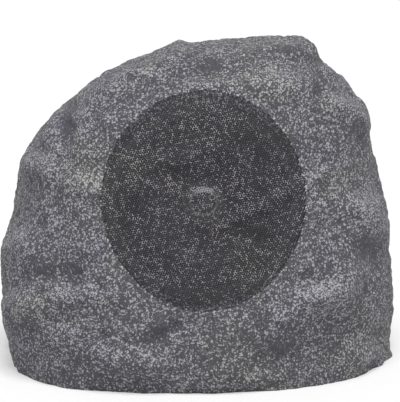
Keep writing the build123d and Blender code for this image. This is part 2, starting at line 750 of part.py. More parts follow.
def make_tweeter_post():
    """Hollow stud through the pole, with a shoulder on the pole and a flange under the tweeter."""
    shoulder = BASKET_BACK + POST_SHOULDER_THICKNESS
    neck = CUP_BACK - POST_FLANGE_THICKNESS
    end = YOKE_BACK - POST_NUT_THICKNESS - POST_END
    return turned(
        (POST_BORE_RADIUS, end),
        (POST_RADIUS, end),
        (POST_RADIUS, BASKET_BACK),
        (POST_SHOULDER_RADIUS, BASKET_BACK),
        (POST_SHOULDER_RADIUS, shoulder),
        (POST_RADIUS, shoulder),
        (POST_RADIUS, neck),
        (POST_FLANGE_RADIUS, neck),
        (POST_FLANGE_RADIUS, CUP_BACK),
        (POST_BORE_RADIUS, CUP_BACK),
    )


def make_post_nut():
    """Hexagon nut behind the yoke."""
    nut = hexagon(POST_NUT_WIDTH, YOKE_BACK - POST_NUT_THICKNESS, YOKE_BACK)
    return nut - disc(POST_RADIUS + FIT, YOKE_BACK - POST_NUT_THICKNESS, YOKE_BACK)


def make_tweeter_cup():
    """Housing of the tweeter, open to the front."""
    inside = TWEETER_RADIUS - TWEETER_CUP_WALL
    return turned(
        (POST_BORE_RADIUS, CUP_BACK),
        (TWEETER_RADIUS, CUP_BACK),
        (TWEETER_RADIUS, CUP_FRONT),
        (inside, CUP_FRONT),
        (inside, POT_BACK),
        (POST_BORE_RADIUS, POT_BACK),
    )


def make_tweeter_pot():
    """Steel pot that carries the tweeter's magnet."""
    inside = TWEETER_POT_RADIUS - TWEETER_POT_WALL
    return turned(
        (0, POT_BACK),
        (TWEETER_POT_RADIUS, POT_BACK),
        (TWEETER_POT_RADIUS, POT_FRONT),
        (inside, POT_FRONT),
        (inside, TWEETER_MAGNET_BACK),
        (0, TWEETER_MAGNET_BACK),
    )


def make_tweeter_dome():
    """Dome with its coil tube and a flat surround under the faceplate."""
    ball = (DOME_RADIUS**2 + DOME_RISE**2) / (2 * DOME_RISE)
    middle = Pos(0, 0, CUP_FRONT + DOME_RISE - ball)
    cap = middle * (Sphere(ball) - Sphere(ball - DOME_THICKNESS)) & disc(DOME_RADIUS, CUP_FRONT, LIP_TOP)
    inside = DOME_RADIUS - DOME_THICKNESS
    rim = TWEETER_RADIUS - TWEETER_CUP_WALL - FIT
    tube = ring(inside, DOME_RADIUS, CUP_FRONT - DOME_SKIRT, CUP_FRONT)
    return cap + [tube, ring(inside, rim, CUP_FRONT - DOME_THICKNESS, CUP_FRONT)]


def make_tweeter_faceplate():
    """Front ring of the tweeter with the raised lip that shows behind the grille."""
    bore = LIP_RADIUS - LIP_THICKNESS
    return turned(
        (bore, CUP_FRONT),
        (TWEETER_RADIUS, CUP_FRONT),
        (TWEETER_RADIUS, FACEPLATE_FRONT),
        (LIP_RADIUS, FACEPLATE_FRONT),
        (LIP_RADIUS, LIP_TOP),
        (bore, LIP_TOP),
    )


# Crossover and its leads


def make_crossover_board():
    """Circuit board on the standoffs."""
    sheet = Box(BOARD_LENGTH, BOARD_WIDTH, BOARD_THICKNESS)
    board = Pos(0, BOARD_Y, BOARD_UNDERSIDE + BOARD_THICKNESS / 2) * sheet
    for place in board_screw_places():
        board -= place * disc(BOARD_SCREW_RADIUS + FIT, BOARD_UNDERSIDE, BOARD_TOP)
    return board


def make_board_screws():
    """Screws at the board's corners."""
    screw = pan_screw(BOARD_SCREW_RADIUS, BOARD_SCREW_HEAD_RADIUS, BOARD_SCREW_HEAD_HEIGHT, BOARD_SCREW_LENGTH)
    return group([place * Pos(0, 0, BOARD_TOP) * screw for place in board_screw_places()])


def make_inductor():
    """Bobbin with its winding, standing on the board."""
    cheek_low = BOARD_TOP + INDUCTOR_CHEEK
    cheek_high = BOARD_TOP + INDUCTOR_HEIGHT - INDUCTOR_CHEEK
    coil = INDUCTOR_RADIUS - INDUCTOR_WINDING
    bobbin = turned(
        (INDUCTOR_BORE_RADIUS, BOARD_TOP),
        (INDUCTOR_RADIUS, BOARD_TOP),
        (INDUCTOR_RADIUS, cheek_low),
        (coil, cheek_low),
        (coil, cheek_high),
        (INDUCTOR_RADIUS, cheek_high),
        (INDUCTOR_RADIUS, BOARD_TOP + INDUCTOR_HEIGHT),
        (INDUCTOR_BORE_RADIUS, BOARD_TOP + INDUCTOR_HEIGHT),
    )
    return Pos(-BOARD_LENGTH / 2 + 2 * BOARD_SCREW_MARGIN + INDUCTOR_RADIUS, BOARD_Y) * bobbin


def make_capacitors():
    """Two film capacitors side by side on the board."""
    wide, deep, tall = CAPACITOR_SIZE
    block = fillet(Box(wide, deep, tall).edges().filter_by(Axis.Z), CAPACITOR_EDGE)
    x = BOARD_LENGTH / 2 - 2 * BOARD_SCREW_MARGIN - wide / 2
    z = BOARD_TOP + tall / 2
    return group([Pos(x - step * CAPACITOR_SPACING, BOARD_Y, z) * block for step in range(2)])


def make_resistor():
    """Cement resistor along the back of the board."""
    wide, deep, tall = RESISTOR_SIZE
    x = BOARD_LENGTH / 2 - 2 * BOARD_SCREW_MARGIN - wide / 2
    y = BOARD_Y + BOARD_WIDTH / 2 - deep
    return Pos(x, y, BOARD_TOP + tall / 2) * Box(wide, deep, tall)


def make_input_terminal():
    """Terminal block for the cable, at the back of the board."""
    wide, deep, tall = TERMINAL_BLOCK_SIZE
    x = -BOARD_LENGTH / 2 + 2 * BOARD_SCREW_MARGIN + wide / 2
    y = BOARD_Y + BOARD_WIDTH / 2 - deep / 2
    block = Pos(x, y, BOARD_TOP + tall / 2) * Box(wide, deep, tall)
    mouth = Plane((x, y + deep / 2, BOARD_TOP + tall / 2), x_dir=(1, 0, 0), z_dir=(0, 1, 0))
    for side in (-1, 1):
        hole = disc(TERMINAL_BLOCK_HOLE_RADIUS, -TERMINAL_BLOCK_HOLE_DEPTH, 1)
        block -= mouth * Pos(side * wide / 4, 0, 0) * hole
    return block


def lead(radius, *points):
    """Round wire along straight runs with rounded bends."""
    path = FilletPolyline(*points, radius=LEAD_BEND)
    return sweep(Plane(path @ 0, z_dir=path % 0) * Circle(radius), path=path)


def make_woofer_leads():
    """Two wires from the woofer's tabs down to the front of the board."""
    radius, height = tab_tip()
    pad_y = BOARD_Y - BOARD_WIDTH / 2 + LEAD_PAD_MARGIN
    wires = []
    for side in (-1, 1):
        x = side * TERMINAL_TAB_SPACING / 2
        tip = baffle.from_local_coords((x, -radius, height))
        bend = baffle.from_local_coords((x, -radius - LEAD_DROP, height))
        over_pad = Vector(tip.X, pad_y, BOARD_TOP + LEAD_DROP)
        wires.append(lead(LEAD_RADIUS, tip, bend, over_pad, Vector(tip.X, pad_y, BOARD_TOP)))
    return group(wires)


def make_tweeter_leads():
    """Two wires from the tweeter through its post and down to the back of the board."""
    pad_y = BOARD_Y + BOARD_WIDTH / 2 - LEAD_PAD_MARGIN
    tail = YOKE_BACK - POST_NUT_THICKNESS - POST_END - TWEETER_LEAD_TAIL
    wires = []
    for side in (-1, 1):
        x = side * TWEETER_LEAD_SPACING / 2
        start = baffle.from_local_coords((x, 0, CUP_BACK + TWEETER_CUP_FLOOR / 2))
        bend = baffle.from_local_coords((x, 0, tail))
        over_pad = Vector(start.X, pad_y, bend.Z - TWEETER_LEAD_TAIL)
        wires.append(lead(TWEETER_LEAD_RADIUS, start, bend, over_pad, Vector(start.X, pad_y, BOARD_TOP)))
    return group(wires)


# Every piece by the name a maker would use, placed on the driver, in the gland's pocket or as it is built
pieces = {
    "rock_shell": make_rock_shell(),
    "grille": make_grille(),
    "base_plate": make_base_plate(),
    "base_gasket": make_base_gasket(),
    "base_screws": make_base_screws(),
    "crossover_board": make_crossover_board(),
    "board_screws": make_board_screws(),
    "inductor": make_inductor(),
    "capacitors": make_capacitors(),
    "resistor": make_resistor(),
    "input_terminal": make_input_terminal(),
    "woofer_leads": make_woofer_leads(),
    "tweeter_leads": make_tweeter_leads(),
}
in_gland_pocket = {
    "gland_body": make_gland_body(),
    "gland_seal": make_gland_seal(),
    "gland_cap": make_gland_cap(),
    "gland_locknut": make_gland_locknut(),
}
on_driver_axis = {
    "woofer_gasket": make_woofer_gasket(),
    "woofer_basket": make_woofer_basket(),
    "woofer_screws": make_woofer_screws(),
    "woofer_surround": make_woofer_surround(),
    "woofer_cone": make_woofer_cone(),
    "woofer_spider": make_woofer_spider(),
    "voice_coil_former": make_voice_coil_former(),
    "voice_coil": make_voice_coil(),
    "front_plate": make_front_plate(),
    "ferrite_magnet": ring(MAGNET_BORE_RADIUS, MAGNET_RADIUS, MAGNET_BACK, FRONT_PLATE_BACK),
    "yoke": make_yoke(),
    "terminal_strip": make_terminal_strip(),
    "terminal_tabs": make_terminal_tabs(),
    "tweeter_post": make_tweeter_post(),
    "post_nut": make_post_nut(),
    "tweeter_cup": make_tweeter_cup(),
    "tweeter_pot": make_tweeter_pot(),
    "tweeter_magnet": disc(TOP_PLATE_RADIUS, TWEETER_MAGNET_BACK, TOP_PLATE_BACK),
    "tweeter_top_plate": disc(TOP_PLATE_RADIUS, TOP_PLATE_BACK, POT_FRONT),
    "tweeter_dome": make_tweeter_dome(),
    "tweeter_faceplate": make_tweeter_faceplate(),
}
pieces.update({name: gland_floor * piece for name, piece in in_gland_pocket.items()})
pieces.update({name: baffle * piece for name, piece in on_driver_axis.items()})

os.makedirs("parts", exist_ok=True)
for name, piece in pieces.items():
    export_step(piece, f"parts/{name}.step")
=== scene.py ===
"""Garden loudspeaker moulded as a boulder: the looks of its rock, grille, driver, gland and base."""

import json
from math import cos, hypot, pi, radians, sin, sqrt
from typing import NamedTuple

import bmesh
import bpy
import numpy as np
from bpy.props import FloatProperty, FloatVectorProperty, IntProperty, PointerProperty
from mathutils import Matrix, Vector, noise
from mathutils.bvhtree import BVHTree


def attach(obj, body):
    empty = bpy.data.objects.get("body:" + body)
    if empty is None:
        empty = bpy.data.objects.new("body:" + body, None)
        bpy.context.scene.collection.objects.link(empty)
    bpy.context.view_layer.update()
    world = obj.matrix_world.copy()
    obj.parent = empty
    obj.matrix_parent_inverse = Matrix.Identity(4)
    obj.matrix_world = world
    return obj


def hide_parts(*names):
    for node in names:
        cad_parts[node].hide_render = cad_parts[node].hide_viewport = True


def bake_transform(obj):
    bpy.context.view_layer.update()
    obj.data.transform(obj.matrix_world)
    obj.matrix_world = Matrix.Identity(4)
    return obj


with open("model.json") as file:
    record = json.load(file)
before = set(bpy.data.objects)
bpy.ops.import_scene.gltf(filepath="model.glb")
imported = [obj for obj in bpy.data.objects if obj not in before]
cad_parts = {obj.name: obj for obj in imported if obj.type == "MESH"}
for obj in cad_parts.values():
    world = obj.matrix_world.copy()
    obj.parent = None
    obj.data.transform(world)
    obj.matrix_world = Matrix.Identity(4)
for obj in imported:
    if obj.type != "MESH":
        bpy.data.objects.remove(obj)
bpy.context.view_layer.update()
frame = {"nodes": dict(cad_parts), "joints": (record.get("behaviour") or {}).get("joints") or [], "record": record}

bl_info = {
    "name": "Rock garden speaker",
    "version": (1, 0, 0),
    "blender": (4, 5, 0),
    "location": "3D View > Sidebar > Rock Speaker",
    "description": "Boulder skin, perforated grille and finishes of a garden loudspeaker",
    "category": "Object",
}

# Photograph's frame, in pixels
IMAGE_WIDTH = 400
IMAGE_HEIGHT = 402

# Outline of the boulder in the photograph, in pixels, from the lower right round the top to the lower left
OUTLINE = (
    (387, 345), (390, 325), (391, 275), (388, 250), (389, 225), (382, 192), (377, 170), (371, 142),
    (371, 118), (363, 102), (354, 94), (345, 80), (332, 70), (320, 57), (316, 46), (302, 37),
    (285, 37), (240, 39), (205, 42), (192, 43), (178, 40), (166, 47), (150, 54), (110, 70),
    (77, 94), (50, 118), (22, 158), (18, 185), (14, 212), (2, 246), (2, 290), (3, 320), (8, 345),
)

# Pixel in the middle of the outline, and the degrees over which its growth is evened out
OUTLINE_MIDDLE = (197, 230)
OUTLINE_WINDOW = 3

# Fading of that growth: its power towards the middle, and the heights over which it comes in above the foot
EDGE_POWER = 4
FOOT_FADE_START = 0.004
FOOT_FADE = 0.04


class Stroke(NamedTuple):
    """Ridge or groove of the boulder's face.

    Its ends and its reach are in the photograph's pixels, and its rise is in metres.
    """

    start: tuple
    end: tuple
    reach: float
    rise: float


STROKES = (
    # Ridge at the lower right, the hollow under it and the flat corner beside that
    Stroke((342, 287), (280, 314), 12, 0.0066),
    Stroke((258, 356), (300, 356), 11, -0.0034),
    Stroke((340, 322), (384, 332), 11, -0.0036),
    Stroke((345, 362), (378, 353), 8, 0.0034),
    # Ridge across the right of the grille
    Stroke((322, 174), (262, 205), 6, 0.0044),
    Stroke((262, 205), (216, 230), 6, 0.0040),
    # Ridge at the upper left of the grille, and the swelling at its top
    Stroke((148, 167), (186, 157), 8, 0.0034),
    Stroke((216, 108), (212, 150), 13, 0.0024),
    # Crease at the upper left with its two lips, and the ledges beside and below it
    Stroke((72, 104), (64, 146), 5, -0.0052),
    Stroke((58, 116), (52, 146), 7, 0.0036),
    Stroke((86, 104), (79, 150), 8, 0.0034),
    Stroke((24, 166), (50, 170), 10, 0.0056),
    Stroke((70, 186), (102, 192), 11, 0.0040),
    # Groove under the top's front edge, and the crease that runs down from it
    Stroke((258, 60), (304, 62), 8, -0.0050),
    Stroke((262, 90), (300, 93), 9, 0.0030),
    Stroke((200, 74), (228, 73), 7, -0.0036),
    Stroke((196, 90), (232, 90), 9, 0.0024),
    Stroke((318, 60), (316, 112), 5, -0.0050),
    Stroke((330, 72), (328, 98), 7, 0.0030),
    # Ledges down the right side
    Stroke((328, 107), (362, 119), 10, 0.0060),
    Stroke((352, 206), (384, 230), 12, 0.0060),
    Stroke((385, 228), (366, 292), 6, -0.0032),
    # Lip along the upper left of the top
    Stroke((98, 92), (178, 58), 7, 0.0044),
    Stroke((112, 106), (188, 74), 8, -0.0030),
    # Ledges down the left side
    Stroke((10, 247), (34, 249), 9, 0.0046),
    Stroke((36, 274), (75, 278), 9, -0.0024),
    Stroke((60, 298), (112, 298), 10, 0.0036),
    Stroke((12, 305), (42, 307), 9, 0.0046),
    # Dents and swellings low on the face
    Stroke((148, 342), (174, 326), 8, -0.0044),
    Stroke((100, 357), (155, 361), 10, 0.0040),
    Stroke((44, 220), (42, 224), 5, -0.0030),
    Stroke((228, 344), (232, 346), 4, -0.0026),
    Stroke((98, 288), (101, 289), 4, -0.0024),
    Stroke((94, 336), (104, 335), 4, -0.0024),
)


class Facet(NamedTuple):
    """Chipped patch of the boulder's face.

    Its middle and half sizes are in the photograph's pixels. Its slope is positive where it tips up.
    """

    middle: tuple
    sizes: tuple
    slope: float


FACETS = (
    # Patches that tip up
    Facet((282, 77), (20, 10), 0.60),
    Facet((340, 102), (18, 9), 0.66),
    Facet((366, 202), (12, 14), 0.75),
    Facet((318, 290), (26, 9), 0.55),
    Facet((360, 343), (16, 12), 0.45),
    Facet((22, 232), (12, 7), 0.55),
    Facet((37, 156), (15, 8), 0.55),
    Facet((85, 173), (18, 10), 0.30),
    Facet((82, 291), (20, 10), 0.30),
    Facet((145, 71), (20, 7), 0.45),
    Facet((62, 330), (20, 12), 0.35),
    Facet((20, 292), (8, 9), 0.40),
    Facet((178, 190), (14, 8), 0.20),
    Facet((214, 104), (9, 14), 0.30),
    # Patches that tip down
    Facet((69, 122), (8, 14), -0.80),
    Facet((357, 126), (10, 11), -0.75),
    Facet((367, 241), (16, 13), -0.58),
    Facet((161, 328), (13, 7), -0.60),
    Facet((276, 341), (27, 17), -0.40),
    Facet((31, 322), (12, 12), -0.45),
    Facet((127, 370), (22, 8), -0.50),
    Facet((287, 50), (13, 6), -0.70),
    Facet((211, 65), (14, 8), -0.42),
    Facet((32, 176), (10, 8), -0.45),
    Facet((45, 271), (16, 10), -0.24),
    Facet((306, 272), (11, 9), -0.40),
    Facet((320, 86), (4, 18), -0.60),
    Facet((264, 232), (28, 14), -0.36),
    Facet((168, 170), (22, 8), -0.30),
    Facet((258, 142), (30, 18), -0.30),
    Facet((206, 294), (44, 14), -0.38),
    Facet((128, 204), (16, 22), -0.22),
)

# Painted light and shade in the granite's flecks: gain in the cover of light flecks from a wall to a flat top, per
# slope of a facet and per metre of a stroke
UPPER_COVER = 0.04
FACET_COVER = 0.34
STROKE_COVER = 20

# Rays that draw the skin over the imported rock: the point that they aim at, and how far out they start
HULL_MIDDLE = Vector((0.0, 0.0, 0.11))
HULL_REACH = 0.4

# Radius of the skin over openings before it is drawn flush, and the passes that draw it
HOLE_START = 0.14
HOLE_PASSES = 200

# Foot: height of the wall's lowest corners, depth of the skin under the ground, slope of rays to its floor
GROUND_BAND = 0.004
SKIN_FOOT = 0.02
FOOT_SLOPE = -0.58

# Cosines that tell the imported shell's outer faces from the rest, and the grille's front from its sides
OUTWARD = 0.1
DOWNWARD = -0.9
ON_BAFFLE = 0.999
POCKET_WALL = 0.5
POCKET_FLOOR = 0.9999
GRILLE_FRONT = 0.5

# Radius of the gland's pocket, half height of the baffle's band, and start of a ray over a face
POCKET_RADIUS = 0.0175
BAFFLE_BAND = 0.0005
RAY_START = 0.0002

# Finer part of the skin: reach over the grille, least turn to the camera, least height and smoothing passes
REFINED_REACH = 0.006
REFINED_TURN = 0.02
REFINED_FLOOR = -0.004
REFINED_PASSES = 2

# Cosines to the camera: how far past edge-on the front's relief starts, and over how much it comes in
FRONT_START = 0.1
FRONT_FADE = 0.4

# Relief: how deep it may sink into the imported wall, its lift, the lift of facets, and its gain out of sight
SKIN_DEPTH = 0.0036
SKIN_LIFT = 0.0015
FACET_LIFT = 0.2
HIDDEN_GAIN = 0.8

# Fall, step and count of the octaves in lumps and grain
LUMP_OCTAVES = (1.0, 2.1, 3)
GRAIN_OCTAVES = (0.8, 2.0, 2)

# Bend of the chips as a share of their size, and the level that they rise from
CHIP_BEND = 0.5
CHIP_LEVEL = 0.4

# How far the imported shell's outer face is moved out, past the skin
ROOM_OVER_SKIN = 0.016

# Corners that lie closer than this are joined
MERGE_DISTANCE = 1e-6

# Grille: corners of its outline, mark of its skirt's faces, gap under the skirt, height where it is read
RIM_SEGMENTS = 240
SKIRT_MARK = 1
SKIRT_GAP = 0.0005
SKIRT_PROBE = 0.001

# Honeycomb: doublings of its columns and rows, and the share of the pitch that its cells keep from the skirt
COLUMN_DOUBLINGS = 7
ROW_DOUBLINGS = 6
CELL_MARGIN = 0.6

# Seed of the chips' bends, so that the relief comes out the same each time
RELIEF_SEED = 7

# How much closer to the rock the dressed grille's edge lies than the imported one's
EDGE_GROWTH = 0.0002

# Radius of the raised ring on the tweeter's faceplate, and the width of its edge
RING_RADIUS = 0.0119
RING_EDGE = 0.0003

# Hood at the top of the tweeter's lip: its reach over the dome, and where up the faceplate the ring turns pale as
# a painted highlight from the light overhead
LIP_HOOD = 0.0036
HIGHLIGHT_START = 0.0060
HIGHLIGHT_FADE = 0.003

# Tweeter's lip: its wall, the steps of its rounding and its turn, and the digits that tell its sizes apart
LIP_WALL = 0.0008
LIP_STEPS = 6
TURNED_STEPS = 72
SIZE_DIGITS = 5

# Width of the glued edges of the surround and the spider
GLUED_BAND = 0.0025

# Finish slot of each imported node
SLOTS = {part["node"]: part["material_slot"] for part in frame["record"]["subparts"]}

# Edges that bend more than these angles stay crisp
ROCK_CREASE = radians(50)
PIECE_CREASE = radians(40)

# Granite, as shares of the fleck size: bend of the flecks, grain of the ground, small flecks and pits
FLECK_BEND = 0.9
GROUND_GRAIN = 0.5
SMALL_FLECK = 0.62
PIT_SIZE = 0.7

# Granite: depth of the pits, size and gain of the drift in its flecks, and size of its clouds
PIT_DEPTH = 0.0006
DRIFT_SIZE = 0.014
DRIFT_GAIN = 0.6
CLOUD_SIZE = 0.05

# Fleck: where in its grain it ends and where it is full, and the share of the flecks that are strong
FLECK_EDGE = 0.66
FLECK_CORE = 0.30
STRONG_SHARE = 0.3

# Patches of sheen: their size as a share of the shades' size, and their spread in roughness
SHEEN_SIZE = 0.7
SHEEN_SPREAD = 0.1

# Pitches of the cone's rings, the spider's threads and the board's tracks
CONE_RING_PITCH = 0.0016
THREAD_PITCH = 0.0009
TRACK_PITCH = 0.009

# Stage: where the soft light comes from, half the floor's side and the camera's far limit
KEY_DIRECTION = (0.05, -0.35, 1.0)
FLOOR_REACH = 8
FAR_LIMIT = 100

# Floor's white for the light that it throws back, and where it is seen
FLOOR_BOUNCED = (0.92, 0.92, 0.92, 1)
FLOOR_SEEN = (0.97, 0.97, 0.97, 1)


def length_setting(name, description, default):
    """Setting in metres."""
    return FloatProperty(name=name, description=description, default=default, unit="LENGTH")


def angle_setting(name, description, default):
    """Setting in radians."""
    return FloatProperty(name=name, description=description, default=default, subtype="ANGLE")


def colour_setting(name, description, default):
    """Setting of a colour."""
    return FloatVectorProperty(name=name, description=description, default=default, subtype="COLOR")


class BoulderSettings(bpy.types.PropertyGroup):
    """Sizes of the boulder's relief."""

    skin_detail: IntProperty(
        name="Skin detail",
        description="Subdivisions of the ball that the skin starts from",
        default=7,
        min=4,
        max=8,
    )
    softening: IntProperty(
        name="Softening", description="Times that the moulded facets are smoothed", default=36, min=0
    )
    lump_size: length_setting("Lump size", "Distance between lumps of the rock", 0.048)
    lump_height: length_setting("Lump height", "Height of the lumps", 0.0030)
    chip_size: length_setting("Chip size", "Size of the chipped facets", 0.023)
    chip_height: length_setting("Chip height", "Depth between chipped facets", 0.0026)
    grain_size: length_setting("Grain size", "Size of the coarse grain", 0.0052)
    grain_height: length_setting("Grain height", "Height of the coarse grain", 0.0005)


class GrilleSettings(bpy.types.PropertyGroup):
    """Sizes of the perforated sheet."""

    hole_pitch: length_setting("Hole pitch", "Distance between holes", 0.002)
    bar_width: length_setting("Bar width", "Sheet left between two holes", 0.00046)
    row_turn: angle_setting("Row turn", "Turn of the rows of holes", radians(10))
    sheet: length_setting("Sheet", "Thickness of the sheet", 0.0006)
    border: length_setting("Border", "Plain edge between the skirt and the holes", 0.0001)
    skirt: length_setting("Skirt", "Thickness of the skirt under the sheet's edge", 0.0008)


class FinishSettings(bpy.types.PropertyGroup):
    """Colours and grain of the granite coat."""

    granite_dark: colour_setting("Dark grain", "Dark base of the granite", (0.053, 0.052, 0.061))
    granite_mid: colour_setting("Middle grain", "Middle grey of the granite", (0.124, 0.122, 0.134))
    granite_light: colour_setting("Light fleck", "Light flecks of the granite", (0.445, 0.445, 0.440))
    cloud_cool: colour_setting("Cool cloud", "Tint of the cooler patches", (0.89, 0.88, 0.99))
    cloud_warm: colour_setting("Warm cloud", "Tint of the warmer patches", (1.0, 0.99, 0.97))
    fleck_size: length_setting("Fleck size", "Distance between the granite's flecks", 0.0019)


class StageSettings(bpy.types.PropertyGroup):
    """Camera, light and floor."""

    elevation: angle_setting("Elevation", "Height of the camera over the horizon", radians(13.3))
    distance: length_setting("Distance", "Camera to the middle of the rock", 4.0)
    view_width: length_setting("View width", "Width of the picture at the middle of the rock", 0.340)
    aim: FloatVectorProperty(
        name="Aim",
        description="Point in the middle of the picture",
        subtype="XYZ",
        default=(0.00255, 0.0, 0.1306),
    )
    key_strength: FloatProperty(
        name="Key light", description="Strength of the soft light overhead", default=2.45
    )
    key_spread: angle_setting("Key spread", "Width of the soft light overhead", radians(28))
    sky_strength: FloatProperty(
        name="Sky", description="Strength of the light from all round", default=0.33
    )
    floor_glow: FloatProperty(
        name="Floor glow", description="Share of the floor that is plain white to the camera", default=0.4
    )


# Frames of reference


def coordinates(node):
    """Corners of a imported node, one row each."""
    vertices = frame["nodes"][node].data.vertices
    corners = np.zeros(len(vertices) * 3)
    vertices.foreach_get("co", corners)
    return corners.reshape(-1, 3)


def driver_frame():
    """Frame on the baffle's front: right, up along the baffle, and out along the cone's travel."""
    right = Vector((1, 0, 0))
    facing = Vector(frame["joints"][0]["axis"]).normalized()
    up = facing.cross(right)
    turn = np.array((right, up, facing))
    local = coordinates("woofer_gasket") @ turn.T
    low, high = local.min(axis=0), local.max(axis=0)
    middle = np.array(((low[0] + high[0]) / 2, (low[1] + high[1]) / 2, low[2])) @ turn
    place = Matrix((right, up, facing)).transposed().to_4x4()
    place.translation = Vector(middle)
    return place


MOUNTS = {mount["name"]: mount for mount in frame["record"]["mounts"]}
GLAND = Vector(MOUNTS["cable_entry"]["pos_m"])
DRIVER = driver_frame()
RISING = Vector(DRIVER.col[1][:3])
FACING = Vector(DRIVER.col[2][:3])


def view_axes():
    """Up and back directions of the camera; its right is +X."""
    elevation = bpy.context.scene.rock_stage.elevation
    up = Vector((0, sin(elevation), cos(elevation)))
    back = Vector((0, -cos(elevation), sin(elevation)))
    return up, back


def photo_places(points):
    """Where points of the object land in the photograph, in pixels, and how many pixels a metre there is."""
    stage = bpy.context.scene.rock_stage
    up, back = view_axes()
    offset = points - np.array(stage.aim)
    depth = stage.distance - offset @ np.array(back)
    scale = IMAGE_WIDTH / stage.view_width * stage.distance / depth
    places = np.stack((offset[:, 0], -(offset @ np.array(up))), axis=1) * scale[:, None]
    return places + np.array((IMAGE_WIDTH / 2, IMAGE_HEIGHT / 2)), scale


def grille_outline():
    """Radius of the grille's skirt in each degree round the driver's axis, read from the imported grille."""
    shape = bmesh.new()
    shape.from_mesh(frame["nodes"]["grille"].data)
    tree = BVHTree.FromBMesh(shape)
    shape.free()
    radii = []
    for degree in range(360):
        outwards = DRIVER.to_3x3() @ Vector((cos(radians(degree)), sin(radians(degree)), 0))
        foot = DRIVER.translation + FACING * SKIRT_PROBE
        hit = tree.ray_cast(foot + outwards * HULL_REACH, -outwards)[0]
        radii.append((hit - foot).length)
    return np.array(radii) + EDGE_GROWTH


GRILLE_RADII = grille_outline()


def grille_room(local):
    """How far points on the driver's frame lie inside the grille's outline."""
    turn = np.degrees(np.arctan2(local[:, 1], local[:, 0])) % 360
    edge = np.interp(turn, np.arange(361), np.append(GRILLE_RADII, GRILLE_RADII[0]))
    return edge - np.hypot(local[:, 0], local[:, 1])


def on_driver(points):
    """Points in the driver's frame."""
    turn = np.array(DRIVER.to_3x3())
    return (points - np.array(DRIVER.translation)) @ turn


# Meshes


def corner_array(shape):
    """Corners of a bmesh, one row each."""
    return np.array([vert.co for vert in shape.verts])


def move_corners(shape, corners):
    """Moves the corners of a bmesh."""
    for vert, corner in zip(shape.verts, corners):
        vert.co = corner


def normal_array(shape):
    """Directions of a bmesh's corners."""
    shape.normal_update()
    return np.array([vert.normal for vert in shape.verts])


def of_kind(items, kind):
    """Items of one kind among corners, edges and faces."""
    return [item for item in items if isinstance(item, kind)]


def new_piece(name, shape, body, slot, *nodes):
    """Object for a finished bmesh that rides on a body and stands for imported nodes."""
    mesh = bpy.data.meshes.new(name)
    shape.to_mesh(mesh)
    shape.free()
    piece = bpy.data.objects.new(name, mesh)
    bpy.context.scene.collection.objects.link(piece)
    if body:
        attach(piece, body)
    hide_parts(*nodes)
    piece.data.materials.append(finish(slot))
    return piece


def merged_copy(node):
    """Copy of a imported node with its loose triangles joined."""
    shape = bmesh.new()
    shape.from_mesh(frame["nodes"][node].data)
    bmesh.ops.remove_doubles(shape, verts=shape.verts, dist=MERGE_DISTANCE)
    return shape


def smooth_by_angle(shape, angle):
    """Smooth shading, with edges sharper than an angle left crisp."""
    for face in shape.faces:
        face.smooth = True
    for edge in shape.edges:
        edge.smooth = edge.calc_face_angle(pi) < angle


def soften(shape, verts, times):
    """Smooths corners several times."""
    for _ in range(times):
        bmesh.ops.smooth_vert(
            shape, verts=verts, factor=0.5, use_axis_x=True, use_axis_y=True, use_axis_z=True
        )


# Boulder


def outer_faces(shape):
    """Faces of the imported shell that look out, without those of its recess, its pocket and its foot."""
    tree = BVHTree.FromBMesh(shape)
    faces = []
    for face in shape.faces:
        middle = face.calc_center_median()
        outwards = (middle - HULL_MIDDLE).normalized()
        if face.normal.dot(outwards) < OUTWARD or face.normal.z < DOWNWARD:
            continue
        over_baffle = abs((middle - DRIVER.translation).dot(FACING))
        if over_baffle < BAFFLE_BAND and face.normal.dot(FACING) > ON_BAFFLE:
            continue
        near_gland = middle.y > 0 and hypot(middle.x - GLAND.x, middle.z - GLAND.z) < POCKET_RADIUS
        if near_gland and (face.normal.y < POCKET_WALL or face.normal.y > POCKET_FLOOR):
            continue
        if tree.ray_cast(middle + outwards * RAY_START, outwards)[0] is None:
            faces.append(face)
    return set(faces)


def hull_tree():
    """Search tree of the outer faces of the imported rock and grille, carried down below the ground."""
    shape = merged_copy("rock_shell")
    outer = outer_faces(shape)
    bmesh.ops.delete(shape, geom=[face for face in shape.faces if face not in outer], context="FACES")
    feet = [vert for vert in shape.verts if vert.co.z < GROUND_BAND]
    bmesh.ops.translate(shape, verts=feet, vec=(0, 0, -SKIN_FOOT))
    rock_faces = set(shape.faces)
    shape.from_mesh(frame["nodes"]["grille"].data)
    grille_faces = [face for face in shape.faces if face not in rock_faces]
    sides = [face for face in grille_faces if face.normal.dot(FACING) < GRILLE_FRONT]
    bmesh.ops.delete(shape, geom=sides, context="FACES")
    tree = BVHTree.FromBMesh(shape)
    shape.free()
    return tree


def tight_skin(tree):
    """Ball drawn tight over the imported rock, closed over the grille's holes and the pocket, and softened."""
    boulder = bpy.context.scene.rock_boulder
    shape = bmesh.new()
    bmesh.ops.create_icosphere(shape, subdivisions=boulder.skin_detail, radius=1)
    hole_verts = []
    for vert in shape.verts:
        outwards = vert.co.normalized()
        place, normal, _, _ = tree.ray_cast(HULL_MIDDLE + outwards * HULL_REACH, -outwards)
        if place is not None and normal.dot(outwards) > 0:
            vert.co = place
        elif outwards.z < FOOT_SLOPE:
            vert.co = HULL_MIDDLE - outwards * (HULL_MIDDLE.z + SKIN_FOOT) / outwards.z
        else:
            vert.co = HULL_MIDDLE + outwards * HOLE_START
            hole_verts.append(vert)
    soften(shape, hole_verts, HOLE_PASSES)
    soften(shape, shape.verts, boulder.softening)
    return shape


